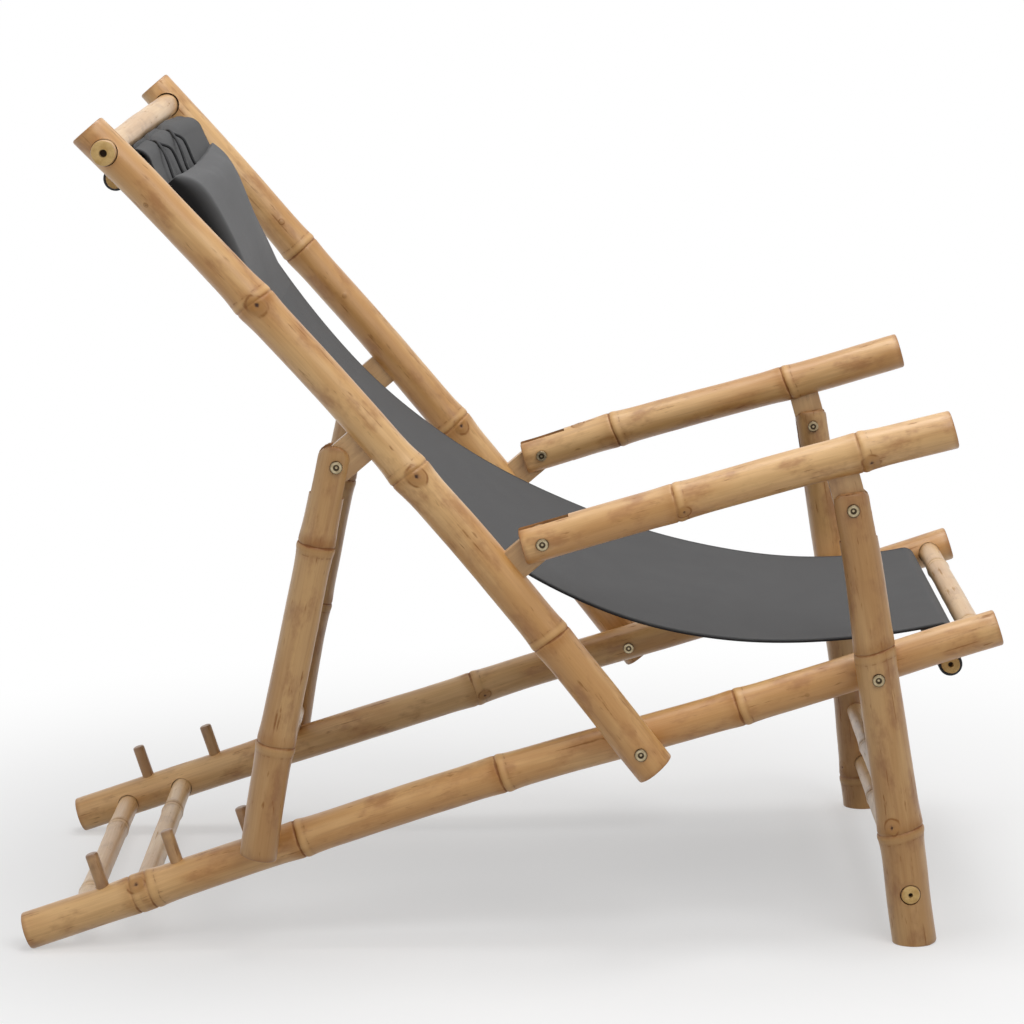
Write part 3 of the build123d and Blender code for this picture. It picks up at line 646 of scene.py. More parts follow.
def eased(points, x):
    """Smooth curve through (distance, value) points."""
    points = list(points)
    if x <= points[0][0]:
        return points[0][1]
    if x >= points[-1][0]:
        return points[-1][1]
    last = len(points) - 1
    at_left = max(index for index in range(last) if points[index][0] <= x)
    (x1, y1), (x2, y2) = points[at_left], points[at_left + 1]
    x0, y0 = points[max(at_left - 1, 0)]
    x3, y3 = points[min(at_left + 2, last)]
    span = x2 - x1
    slope1 = (y2 - y0) / (x2 - x0) * span
    slope2 = (y3 - y1) / (x3 - x1) * span
    t = (x - x1) / span
    start = y1 * (2 * t**3 - 3 * t**2 + 1) + slope1 * (t**3 - 2 * t**2 + t)
    return start + y2 * (3 * t**2 - 2 * t**3) + slope2 * (t**3 - t**2)


NODE_STEPS = (-26.0, -14.0, -8.0, -4.5, -2.4, -1.2, 0.0, 1.2, 2.4, 4.0, 6.0, 9.0, 14.0, 26.0)
BUD_STEPS = (-9.0, -6.5, -4.5, -3.0, -1.6, 0.0, 1.6, 3.0, 4.5, 6.5, 9.0)


def culm_outline(length, radii, nodes, buds, pith, corner):
    """(distance, radius) outline of a pole: eased ends, close stations at the nodes and buds."""
    stations = {round(node + step, 2) for node, *_ in nodes for step in NODE_STEPS}
    stations |= {round(bud + step, 2) for bud, *_ in buds for step in BUD_STEPS}
    stations |= {round(corner * share, 2) for share in (0.12, 0.25, 0.42, 0.6, 0.8, 1.0) if corner}
    ease = 2.2
    inside = sorted(x for x in stations if 2 * ease < x < length - 2 * ease)

    def radius(x):
        return radii[0] + (radii[1] - radii[0]) * x / length

    def cap(x, inward, edge):
        hollow = [(x + 5.0 * inward, 0.0), (x + 4.2 * inward, pith), (x, pith)] if pith else [(x, 0.0)]
        rings = [
            (x, edge * 0.55),
            (x, edge - ease),
            (x + 0.3 * ease * inward, edge - 0.3 * ease),
            (x + ease * inward, edge),
        ]
        return hollow + rings

    body = [(x, radius(x)) for x in inside]
    return cap(0.0, 1.0, radii[0]) + body + cap(length, -1.0, radii[1])[::-1]


def culm_swell(x, nodes):
    """How far a pole stands out at a distance along it, because of its nodes."""
    out = 0.0
    for node, swell, lip in nodes:
        gap = x - node
        out += swell * exp(-((gap / 17.0) ** 2)) + lip * exp(-(((gap - 4.5) / 3.4) ** 2))
        out -= 0.75 * exp(-((gap / 1.3) ** 2))
    return out


def ring_shift(x, turn, nodes, seed):
    """How far the skin near a node is carried along the pole, because its ring wanders."""
    near = max([exp(-(((x - node) / 30.0) ** 2)) for node, *_ in nodes] or [0.0])
    return near * (1.8 * sin(turn + 2.1 * seed) + 0.8 * sin(2 * turn + 3.7 * seed))


def bud_gap(x, turn, radius, buds):
    """Distance over the skin to the nearest bud scar."""
    nearest = 60.0
    for bud, angle, size in buds:
        around = (turn - radians(angle) + pi) % (2 * pi) - pi
        nearest = min(nearest, sqrt(((x - bud) / 1.15) ** 2 + (around * radius) ** 2) / size)
    return nearest


def crooked(length, seed, sway, bow):
    """How far a pole's centre line lies off its straight axis at a distance along it."""

    def off_axis(x):
        taper = sin(pi * min(max(x / length, 0.0), 1.0))
        lean = noise.noise(Vector((x * 0.0055, seed * 1.7, 0.3)))
        tilt = noise.noise(Vector((x * 0.0055, seed * 2.3, 7.1)))
        return eased(bow, x) + sway * taper * lean, sway * taper * tilt

    return off_axis


def grow_culm(bm, length, radii, nodes, buds, seed, off_axis, corner, girth):
    """Shapes a spun pole: node swellings, bud scars, an uneven skin and a slightly crooked line."""
    for vert in bm.verts:
        x, y, z = vert.co
        turn = atan2(y, z)
        base = radii[0] + (radii[1] - radii[0]) * min(max(x / length, 0), 1)
        drift = Vector((x * 0.007, sin(turn) * 0.8, cos(turn) * 0.8 + seed))
        fine = Vector((x * 0.03, sin(turn) * 2.4, cos(turn) * 2.4 + seed * 3.1))
        grown = base + culm_swell(x, nodes) + 0.75 * noise.noise(drift) + 0.25 * noise.noise(fine)
        gap = bud_gap(x, turn, base, buds)
        grown += 1.1 * exp(-((gap / 6.5) ** 2)) - 1.5 * exp(-((gap / 1.7) ** 2))
        share = grown / base
        y, z = y * share * girth, z * share
        if corner and x < corner:
            limit = radii[0] * girth - corner + sqrt(max(corner**2 - (corner - x) ** 2, 0.0))
            y = max(-limit, min(limit, y))
        side, front = off_axis(x)
        vert.co = (x + ring_shift(x, turn, nodes, seed), y + side, z + front)


def mark_culm(piece, to_world, length, radii, nodes, buds, seed, pith, off_axis):
    """Writes the places that the bamboo finishes read, and tells cut faces from the skin."""
    inverse = to_world.inverted()
    mesh = piece.data

    def own_place(point):
        own = inverse @ point
        side, front = off_axis(own.x)
        return own - Vector((0, side, front))

    own_places = [own_place(vert.co) for vert in mesh.vertices]
    flats = [sqrt(own.y**2 + own.z**2) for own in own_places]
    rings, scars = [], []
    for own, flat in zip(own_places, flats):
        turn = atan2(own.y, own.z)
        along = own.x - ring_shift(own.x, turn, nodes, seed)
        rings.append(min([along - node for node, *_ in nodes] or [60.0], key=abs) * MM)
        scars.append(bud_gap(along, turn, max(flat, 5.0), buds) * MM)
    note(mesh, "culm", [own * MM + Vector((seed * 0.37, 0, 0)) for own in own_places])
    note(mesh, "ring", [abs(gap) for gap in rings])
    note(mesh, "above_ring", [1.0 if gap > 0 else -1.0 for gap in rings])
    note(mesh, "bud", scars)
    note(mesh, "tip", [max(0.0, min(own.x, length - own.x)) * MM for own in own_places])
    note(mesh, "pith", [(flat - pith) * MM if pith else 0.05 for flat in flats])
    turned = inverse.to_3x3()
    for face in mesh.polygons:
        own = own_place(face.center)
        outward = Vector((0, own.y, own.z)).normalized()
        facing = (turned @ face.normal).normalized()
        surface = radii[0] + (radii[1] - radii[0]) * own.x / length
        deep = sqrt(own.y**2 + own.z**2) < surface - 2.2
        face.material_index = 1 if facing.dot(outward) < 0.55 or deep else 0


def bamboo(name, node, body, slot, ends, radii, nodes=(), buds=(), facing=(0, -1, 0), **options):
    """One bamboo piece between two world points, in place of its CAD node."""
    start, end = ends
    seed = options.get("seed", 1.0)
    pith = options.get("pith", 0.0)
    corner = options.get("corner", 0.0)
    skin, cut = options.get("finish", (POLE_SKIN, POLE_CUT))
    length = (end - start).length / MM
    nodes = [(place, *(rest or (1.0, 0.55))) for place, *rest in nodes]
    to_world = pole_frame(start, end, Vector(facing))
    bm = spun(culm_outline(length, radii, nodes, buds, pith, corner), options.get("steps", 48), 11.0)
    off_axis = crooked(length, seed, options.get("sway", 1.0), options.get("bow", [(0.0, 0.0)]))
    grow_culm(bm, length, radii, nodes, buds, seed, off_axis, corner, options.get("girth", 1.0))
    move(bm, to_world)
    piece = to_object(bm, name)
    cutters = options.get("cutters", ())
    if cutters:
        carve(piece, *cutters)
    if options.get("ground"):
        trim_ground(piece)
    dress(piece, skin, cut)
    mark_culm(piece, to_world, length, radii, nodes, buds, seed, pith, off_axis)
    smooth(piece)
    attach(piece, body)
    if node:
        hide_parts(node)
    return piece


def trim_ground(piece):
    """Cuts a piece off level with the ground."""
    bm = bmesh.new()
    bm.from_mesh(piece.data)
    whole = bm.verts[:] + bm.edges[:] + bm.faces[:]
    bmesh.ops.bisect_plane(bm, geom=whole, plane_co=(0, 0, 0), plane_no=(0, 0, -1), clear_outer=True)
    rim = [e for e in bm.edges if e.is_boundary]
    if rim:
        bmesh.ops.holes_fill(bm, edges=rim, sides=0)
    bmesh.ops.recalc_face_normals(bm, faces=bm.faces[:])
    bm.to_mesh(piece.data)
    bm.free()


# Poles. Nodes are (distance, swell, lip); bud scars are (distance, turn from the camera's side, size)
RAIL_NODES = {
    "right": [(122.0, 0.5, 0.3), (140.0, 0.9, 0.4), (306.0,), (528.0,), (786.0,)],
    "left": [(233.0,), (489.0,), (792.0,)],
}
RAIL_BUDS = {"right": [(130.0, 40.0, 1.0), (858.0, -12.0, 0.25)], "left": [(499.0, -21.0, 0.8)]}
BACK_NODES = {
    "right": [(175.0, 1.0, 0.3), (400.0, 2.2, 0.2), (634.0, 1.7, 0.2)],
    "left": [(150.0,), (352.0, 1.8, 0.3), (622.0,)],
}
BACK_BUDS = {
    "right": [(394.0, -16.0, 1.15), (630.0, -8.0, 1.25), (779.0, 30.0, 0.3)],
    "left": [(347.0, -24.0, 1.0), (661.0, -20.0, 0.4), (549.0, -12.0, 0.3), (690.0, 150.0, 1.0)],
}
ARM_NODES = {"right": [(163.0, 0.8, 0.5), (357.0, 1.1, 0.8)], "left": [(110.0,), (317.0,)]}
ARM_BUDS = {"right": [(366.0, -27.0, 1.0), (170.0, -24.0, 0.8)], "left": [(72.0, 80.0, 0.8)]}
LEG_NODES = {"right": [(167.0, 0.6, 0.3), (359.0, 1.5, 0.8)], "left": [(250.0,), (440.0,)]}
LEG_BUDS = {"right": [(350.0, -25.0, 0.9), (196.0, 8.0, 0.35)], "left": [(428.0, -60.0, 0.7)]}
PROP_NODES = {"right": [(104.0, 1.3, 0.8), (318.0, 1.3, 0.8)], "left": [(130.0,), (280.0,)]}
# Bows are (distance, offset) along a pole: up for a rail and an armrest, forwards for a leg, and
# backwards for a back pole and a prop
RAIL_BOWS = {
    "right": [
        (0, 1), (90, 2.5), (200, 5.5), (300, 7.5), (480, 10), (600, 8),
        (690, 4.5), (800, 1.5), (900, 0.5), (1000, 1.5), (1068, 1),
    ],
    "left": [
        (0, 2), (90, 3.5), (200, 5), (300, 4.5), (480, 4.5),
        (560, 6), (690, 2.5), (800, 0.5), (950, 0), (1068, 1),
    ],
}
BACK_BOWS = {
    "right": [
        (0, 1), (26, 0), (96, -4), (190, -7), (300, -9.5), (400, -8.5), (500, -8),
        (590, -5.5), (690, -2), (760, 1.2), (800, 3), (850, 6.5), (875, 8.5),
    ],
    "left": [
        (0, 0.5), (26, 0), (96, -2.5), (203, -5), (300, -8), (400, -9.5),
        (500, -10), (650, -9), (760, -8), (850, -6), (875, -5.5),
    ],
}
ARM_BOWS = {
    "right": [(0, 0), (21, 0), (100, 1.2), (280, 1.0), (334, 0), (455, -4)],
    "left": [(0, 0), (21, 0), (100, 2.5), (170, 2.5), (334, 0.8), (455, 1.5)],
}
LEG_BOWS = {
    "right": [(0, 0.5), (17, 0.5), (76, 2.5), (195, 1.5), (300, 1.5), (391, 0.3), (440, -1.5), (480, -2)],
    "left": [(0, 0), (195, 0), (340, -1), (380, -3), (440, -6), (480, -8)],
}
PROP_BOW = [
    (0, -4.5), (20, -4.5), (60, -4.5), (130, -5), (230, -5),
    (320, -5.5), (380, -4), (420, -2), (441, -1),
]
LEG_SHOULDER = 11.0
PROP_SHOULDER = 17.9
MOUTH_REACH = 40.0
MOUTH_DEPTH = 6.0


def leg_radius(point):
    share = (point - LEG_TOP).length / LEG_LENGTH
    return LEG_RADII[0] + (LEG_RADII[1] - LEG_RADII[0]) * share


def faces_at(across, radius):
    return across - radius, across + radius


def socket(point, radius, sign, low, high):
    """Outline of a plain round socket, between two distances across the chair."""
    outline = [(low, 0.0), (low, radius), (high, radius), (high, 0.0)]
    return point, [(sign * across, r) for across, r in outline]


def through(point, radius, sign):
    """Both mouths of a bar's hole through an outer pole."""
    inner = socket(point, radius, sign, POLE_ACROSS - MOUTH_REACH, POLE_ACROSS - MOUTH_DEPTH)
    outer = socket(point, radius, sign, POLE_ACROSS + MOUTH_DEPTH, POLE_ACROSS + MOUTH_REACH)
    return [inner, outer]


RAIL_SOCKETS = ((REAR_BAR_OUTER, 12.2), (REAR_BAR_INNER, 12.2), (FRONT_BAR, 12.4))
RAIL_SOCKET_DEPTH = 6.5
RAIL_FACE = 19.4
BACK_FACE = 21.2
TOP_BAR_HOLE = 14.0
STRETCHER_HOLE = 10.8
ARM_GIRTH = 0.96
LEG_GIRTHS = {"right": 1.08, "left": 1.04}


def pole(kind, node, body, hand, across, ends, radii, seed, **options):
    """One of a side's five poles, between two side-view points."""
    sign = SIDES[hand]
    bamboo(
        f"bamboo_{kind}_{hand}",
        f"{node}_{hand}",
        body,
        "bamboo",
        [at(end, sign * across) for end in ends],
        radii,
        seed=seed + sign * 0.5,
        **options,
    )


def build_side(hand, sign):
    """The five poles of one side of the chair."""
    across = sign * POLE_ACROSS
    rail_faces = faces_at(RAIL_ACROSS, RAIL_FACE)
    rail_pins = [seat(pivot, rail_faces, sign, outer=False) for pivot in (BACK_PIVOT, LEG_PIVOT)]
    mouth, deepest = RAIL_ACROSS - MOUTH_REACH, RAIL_ACROSS + RAIL_SOCKET_DEPTH
    for point, radius in RAIL_SOCKETS:
        rail_pins.append(socket(point, radius, sign, mouth, deepest))
    rail_ends = (Vector((0, 0)), Vector((RAIL_LENGTH, 0)))
    pole(
        "rail", "rail", "base", hand, RAIL_ACROSS, rail_ends, RAIL_RADII, 1.0,
        nodes=RAIL_NODES[hand],
        buds=RAIL_BUDS[hand],
        bow=RAIL_BOWS[hand],
        cutters=[pins("rail_cut", rail_pins)],
        ground=True,
    )
    back_ends = (on_back(-BACK_BELOW, 0), on_back(BACK_LENGTH - BACK_BELOW, 0))
    back_pins = [
        seat(BACK_PIVOT, faces_at(POLE_ACROSS, BACK_FACE), sign, inner=False),
        *through(TOP_BAR + BAR_SHIFTS[sign], TOP_BAR_HOLE, sign),
    ]
    pole(
        "back", "back_pole", "back", hand, POLE_ACROSS, back_ends, BACK_RADII, 3.0,
        nodes=BACK_NODES[hand],
        buds=BACK_BUDS[hand],
        bow=BACK_BOWS[hand],
        cutters=[pins("back_cut", back_pins)],
    )
    arm_rear = ARM_HINGE - ARM_ALONG * ARM_OVERHANG
    arm_ends = (arm_rear, arm_rear + ARM_ALONG * ARM_LENGTH)
    arm_pins = [seat(ARM_HINGE, faces_at(POLE_ACROSS, ARM_RADII[0]), sign)]
    pole(
        "arm", "armrest", "armrests", hand, POLE_ACROSS, arm_ends, ARM_RADII, 5.0,
        nodes=ARM_NODES[hand],
        buds=ARM_BUDS[hand],
        bow=ARM_BOWS[hand],
        girth=ARM_GIRTH,
        cutters=[
            pins("arm_cut", arm_pins),
            slab("arm_fork", arm_rear, ARM_ALONG, ARM_OVERHANG + FORK_DEPTH, across, 5.0 + sign),
        ],
    )
    leg_pins = [
        seat(LEG_HINGE, faces_at(POLE_ACROSS, leg_radius(LEG_HINGE)), sign),
        seat(LEG_PIVOT, faces_at(POLE_ACROSS, leg_radius(LEG_PIVOT)), sign, inner=False),
        *through(LOWER_STRETCHER, STRETCHER_HOLE, sign),
    ]
    leg_ends = (LEG_TOP, LEG_TOP + LEG_DOWN * LEG_LENGTH)
    pole(
        "leg", "front_leg", "front_legs", hand, POLE_ACROSS, leg_ends, LEG_RADII, 7.0,
        nodes=LEG_NODES[hand],
        buds=LEG_BUDS[hand],
        bow=LEG_BOWS[hand],
        girth=LEG_GIRTHS[hand],
        corner=LEG_SHOULDER,
        finish=(LEG_SKIN, POLE_CUT),
        cutters=[
            pins("leg_cut", leg_pins),
            slab("leg_fork", LEG_TOP, LEG_DOWN, LEG_OVERHANG + FORK_DEPTH, across, 7.0 + sign),
        ],
        ground=True,
    )
    prop_top = PROP_HINGE - PROP_DOWN * PROP_END_RADIUS
    prop_ends = (prop_top, prop_top + PROP_DOWN * PROP_LENGTH)
    prop_pins = [seat(PROP_HINGE, faces_at(POLE_ACROSS, PROP_RADII[0]), sign)]
    pole(
        "prop", "prop_leg", "prop", hand, POLE_ACROSS, prop_ends, PROP_RADII, 9.0,
        nodes=PROP_NODES[hand],
        bow=PROP_BOW,
        corner=PROP_SHOULDER,
        finish=(LEG_SKIN, POLE_CUT),
        cutters=[
            pins("prop_cut", prop_pins),
            slab("prop_fork", prop_top, PROP_DOWN, PROP_END_RADIUS + FORK_DEPTH, across, 9.0 + sign),
        ],
    )


for hand, sign in SIDES.items():
    build_side(hand, sign)

# Crossbars, stretchers and hem rods:
# (node, body, place, left end, right end, offsets of the ends, radius, nodes, pith)
RAIL_BAR_END = RAIL_ACROSS + 6.0
POLE_BAR_END = 283.213
TOP_BAR_END = 303.5
STRETCHER_END = 298.8
FRONT_ROD_END = 222.5
TOP_ROD_LEFT_END = 289.213
TOP_ROD_END = 259.5
STRAIGHT = {1: Vector((0, 0)), -1: Vector((0, 0))}
PROP_BAR_SEEN = PROP_BAR + Vector((0.0, 7.3))
BARS = [
    (
        "rear_crossbar_outer", "base", REAR_BAR_OUTER, RAIL_BAR_END, RAIL_BAR_END,
        STRAIGHT, 11.5, (130, 392), 0.0,
    ),
    (
        "rear_crossbar_inner", "base", REAR_BAR_INNER, RAIL_BAR_END, RAIL_BAR_END,
        STRAIGHT, 11.5, (130,), 0.0,
    ),
    (
        "front_crossbar", "base", FRONT_BAR, RAIL_BAR_END, RAIL_BAR_END,
        STRAIGHT, 11.8, (117, 428), 0.0,
    ),
    ("front_hem_rod", "base", FRONT_ROD, FRONT_ROD_END, FRONT_ROD_END, STRAIGHT, 10.0, (), 2.8),
    ("top_crossbar", "back", TOP_BAR, TOP_BAR_END, TOP_BAR_END, BAR_SHIFTS, 13.0, (), 4.0),
    ("top_hem_rod", "back", TOP_ROD, TOP_ROD_LEFT_END, TOP_ROD_END, ROD_SHIFTS, 10.0, (), 2.6),
    ("prop_crossbar", "prop", PROP_BAR_SEEN, POLE_BAR_END, POLE_BAR_END, STRAIGHT, 11.5, (230,), 0.0),
    (
        "lower_stretcher", "front_legs", LOWER_STRETCHER, STRETCHER_END, STRETCHER_END,
        STRAIGHT, 10.0, (200,), 2.4,
    ),
    (
        "upper_stretcher", "front_legs", UPPER_STRETCHER, POLE_BAR_END, POLE_BAR_END,
        STRAIGHT, 10.0, (200,), 0.0,
    ),
]
for index, (node, body, place, left, right, shifts, radius, nodes, pith) in enumerate(BARS):
    bamboo(
        f"bamboo_{node}",
        node,
        body,
        "pale_bamboo",
        (at(place + shifts[-1], -left), at(place + shifts[1], right)),
        (radius, radius),
        [(distance, 0.7, 0.5) for distance in nodes],
        facing=(0, 0, 1),
        seed=11.0 + index,
        sway=0.4,
        steps=32,
        pith=pith,
        finish=(BAR_SKIN, BAR_CUT),
    )


def join(name, parts):
    """One object of several, which share their materials."""
    bm = bmesh.new()
    for part in parts:
        bm.from_mesh(part.data)
        bpy.data.objects.remove(part)
    mesh = bpy.data.meshes.new(name)
    bm.to_mesh(mesh)
    bm.free()
    return add_object(name, mesh)


def rail_top(along):
    return RAIL_RADII[0] + (RAIL_RADII[1] - RAIL_RADII[0]) * along / RAIL_LENGTH


for hand, sign in SIDES.items():
    sticks = []
    for along in PEG_PLACES:
        foot = Vector((along, rail_top(along) - PEG_DEPTH))
        tip = Vector((along, rail_top(along) + PEG_HEIGHT))
        ends = (at(foot, sign * RAIL_ACROSS), at(tip, sign * RAIL_ACROSS))
        sticks.append(
            bamboo(
                "peg",
                None,
                "base",
                "pale_bamboo",
                ends,
                (PEG_RADIUS, PEG_RADIUS),
                seed=21.0 + along * 0.1 + sign,
                sway=0.3,
                steps=24,
                finish=(PEG_SKIN, PEG_SKIN),
            )
        )
    pegs = join(f"bamboo_pegs_{hand}", sticks)
    pegs.data.materials.append(PEG_SKIN)
    pegs.data.materials.append(PEG_SKIN)
    smooth(pegs)
    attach(pegs, "base")
    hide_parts(f"recline_pegs_{hand}")

# Flat tongues in the forks: (kind, body, root, hinge, hole, seed, width)
TONGUES = (
    ("arm", "back", ARM_ROOT, ARM_HINGE, BOLT_HOLE, 31.0, TONGUE_WIDTH),
    ("prop", "back", PROP_ROOT, PROP_HINGE, BOLT_HOLE, 33.0, PROP_TONGUE_WIDTH),
    ("leg", "armrests", LEG_ROOT, LEG_HINGE, LOOSE_HOLE, 35.0, TONGUE_WIDTH),
)
SLAT_RADII = (40.0, 40.0)


def tongue(name, node, body, root, hinge, sign, hole, seed, width):
    """A split-bamboo tongue: a slat with a round end and worn edges."""
    reach = (hinge - root).length
    across = sign * POLE_ACROSS
    bm = bmesh.new()
    bmesh.ops.create_cube(bm, size=1.0)
    length = reach + width / 2
    bmesh.ops.scale(bm, vec=(length, width, TONGUE_THICKNESS), verts=bm.verts[:])
    bmesh.ops.translate(bm, vec=(length / 2, 0, 0), verts=bm.verts[:])
    tips = [e for e in bm.edges if all(v.co.x > length - 0.1 for v in e.verts)]
    corners = [e for e in tips if abs(e.verts[0].co.z - e.verts[1].co.z) > 1]
    bmesh.ops.bevel(
        bm,
        geom=corners,
        offset=width / 2 - 0.05,
        affect="EDGES",
        segments=12,
        profile=0.5,
        material=-1,
    )
    rims = [e for e in bm.edges if abs(e.verts[0].co.z - e.verts[1].co.z) < 0.01]
    bmesh.ops.bevel(bm, geom=rims, offset=0.8, affect="EDGES", segments=2, profile=0.5, material=-1)
    for vert in bm.verts:
        vert.co.z += 0.2 * noise.noise(Vector((vert.co.x * 0.06, vert.co.y * 0.2, seed)))
    to_world = pole_frame(at(root, across), at(hinge, across), Vector((0, -1, 0)))
    move(bm, to_world)
    piece = to_object(bm, name)
    low, high = faces_at(POLE_ACROSS, 20.0)
    carve(piece, pins("tongue_cut", [socket(hinge, hole, sign, low, high)]))
    dress(piece, TONGUE_SKIN, TONGUE_SKIN)
    straight = crooked(length, seed, 0.0, [(0, 0)])
    mark_culm(piece, to_world, length, SLAT_RADII, [], [], seed, 0.0, straight)
    smooth(piece, 30.0)
    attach(piece, body)
    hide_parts(node)


for hand, sign in SIDES.items():
    for kind, body, root, hinge, hole, seed, width in TONGUES:
        names = (f"slat_{kind}_{hand}", f"{kind}_tongue_{hand}")
        tongue(*names, body, root, hinge, sign, hole, seed + sign, width)

# Bolts, sleeve nuts and washers keep their CAD shapes
HARDWARE = ("_bolts", "_nuts", "_washers")
for name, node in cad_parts.items():
    if name.endswith(HARDWARE):
        dress(node, STEEL[name.rsplit("_", 1)[0]])

# Canvas sling: one cloth from the top hem rod over the roll, down the back, along the seat and over
# the front fold to the front hem rod
SLING_HALF = 212.0
SLING_THICKNESS = 2.0
POCKET_RADIUS = 11.5
HEM_SWEEP = 292.0
HEM_ROWS = 31
ROLL_RADIUS = 17.0
FOLD_RADIUS = 12.0
SAG_HEIGHT = 494.0
SAG_FRONT = -19.5
SAG_POINT = on_back(SAG_HEIGHT, SAG_FRONT)
LAP_POINT = on_back(204.0, 35.3)
ROLL_POINT = on_back(780.0, 22.0)
FRONT_POINT = Vector((1013.0, 16.0))


def left_of(direction):
    return Vector((-direction.y, direction.x))


def arc(start, tangent, side, radius, sweep, count):
    """Points of an arc that leaves start along tangent and bends to a side, and its last direction."""
    points = []
    for index in range(count + 1):
        turn = sweep * index / count
        points.append(start + tangent * (radius * sin(turn)) + side * (radius * (1 - cos(turn))))
    return points, tangent * cos(sweep) + side * sin(sweep)


def tangent_arc(start, tangent, end, count):
    """The arc that leaves start along tangent and reaches end."""
    side = left_of(tangent)
    chord = end - start
    radius = chord.length_squared / (2 * chord.dot(side))
    sweep = 2 * atan2(chord.dot(side), chord.dot(tangent))
    return arc(start, tangent, side, radius, sweep, count)


def turn_arc(start, tangent, radius, turn_sign, sweep, count):
    """The arc of a given radius and sweep in degrees."""
    return arc(start, tangent, left_of(tangent) * turn_sign, radius, radians(sweep), count)


def angle_of(direction):
    return degrees(atan2(direction.y, direction.x))


def rod_end(start, tangent, radius, rod, turn_sign):
    """The bend, the straight tail and the hem round the rod, from the end of a run."""
    centre = start + left_of(tangent) * (turn_sign * radius)
    reach = rod - centre
    slant = degrees(asin((radius - POCKET_RADIUS) / reach.length))
    sweep = (turn_sign * (angle_of(reach) - angle_of(tangent)) + slant) % 360
    bend, heading_out = turn_arc(start, tangent, radius, turn_sign, sweep, 22)
    outward = left_of(heading_out) * -turn_sign
    tail_end = rod + outward * POCKET_RADIUS
    tail = [bend[-1].lerp(tail_end, share) for share in (0.2, 0.4, 0.6, 0.8)]
    hem, _ = turn_arc(tail_end, heading_out, POCKET_RADIUS, turn_sign, HEM_SWEEP, HEM_ROWS - 1)
    return bend[1:] + tail + hem


lower_back, lap_tangent = tangent_arc(SAG_POINT, -BACK_UP, LAP_POINT, 44)
upper_back, roll_tangent = tangent_arc(SAG_POINT, BACK_UP, ROLL_POINT, 44)
seat_run, fold_tangent = tangent_arc(LAP_POINT, lap_tangent, FRONT_POINT, 64)
roll_run = rod_end(ROLL_POINT, roll_tangent, ROLL_RADIUS, TOP_ROD, 1)
fold_run = rod_end(FRONT_POINT, fold_tangent, FOLD_RADIUS, FRONT_ROD, -1)
sling_run = roll_run[::-1] + upper_back[::-1] + lower_back[1:] + seat_run[1:] + fold_run
RUN_ROLL = len(roll_run)
RUN_HIP = RUN_ROLL + len(upper_back) + len(lower_back) - 2
RUN_FRONT = RUN_HIP + len(seat_run) - 1
SLING_COLUMNS = 44


def sling_piece():
    """The whole canvas as one sheet; each point keeps its row down the run."""
    bm = bmesh.new()
    row = bm.verts.layers.int.new("row")
    for index, vert in enumerate(chain(bm, [at(point, -SLING_HALF) for point in sling_run])):
        vert[row] = index
    edges = bm.edges[:]
    step = Vector((0, -2 * SLING_HALF / SLING_COLUMNS * MM, 0))
    for _ in range(SLING_COLUMNS):
        made = bmesh.ops.extrude_edge_only(bm, edges=edges)["geom"]
        moved = {item for item in made if isinstance(item, bmesh.types.BMVert)}
        bmesh.ops.translate(bm, vec=step, verts=list(moved))
        edges = [item for item in made if isinstance(item, bmesh.types.BMEdge)]
        edges = [edge for edge in edges if moved.issuperset(edge.verts)]
    return to_object(bm, "canvas_sling")


ROLL_CENTRE = on_back(784.832, 5.701)
EYELETS = (92.0, -24.0)
ROLL_PUFF = 5.0
SEAT_TWIST = 13.0
TOP_TWIST_LOW = 480.0
TOP_TWIST_SPAN = 290.0
HIP_ROWS = 40
TAIL_ROWS = 4
run_lengths = [0.0]
for upper, lower in zip(sling_run, sling_run[1:]):
    run_lengths.append(run_lengths[-1] + (lower - upper).length)


def far_end(across):
    """Grows from 0 to 1 over the left third of the sling's width."""
    return min(max((-across - 90.0) / 122.0, 0.0), 1.0)


def puff(point, across, row):
    """How far the canvas swells off the roll's centre, between the cords that pinch it."""
    reach = point - ROLL_CENTRE
    near = max(0.0, 1.0 - (reach.length - ROLL_RADIUS) / 30.0) ** 2
    rise = max(0.0, reach.normalized().dot(BACK_UP) + 0.25)
    pinch = sum(exp(-(((across - groove) / 15.0) ** 2)) for groove in EYELETS)
    crease = 0.8 * noise.noise(Vector((row * 0.07, across * 0.1, 2.0)))
    fuller = 1.0 - 0.75 * far_end(across)
    return near * min(1.0, rise) * (ROLL_PUFF * fuller * (1.0 - 1.3 * pinch) + crease)


def top_share(height):
    """Grows from 0 to 1 up the twisted top of the back."""
    share = min(max((height - TOP_TWIST_LOW) / TOP_TWIST_SPAN, 0.0), 1.0)
    return share * share * (3 - 2 * share)


def top_drop(height, across):
    """How far the top of the sling hangs lower, at the sitter's left."""
    return -4.0 * far_end(across) * top_share(height)


def top_shift(height, across, row):
    """How far the top of the sling is pulled back, more at the sitter's right."""
    share = top_share(height)
    roll = (-7.0 - 7.0 * across / SLING_HALF) * share
    rod = 7.27 + 0.00128 * across
    hemmed = min(max((HEM_ROWS + 10.0 - row) / 10.0, 0.0), 1.0)
    return roll + (rod - roll) * hemmed


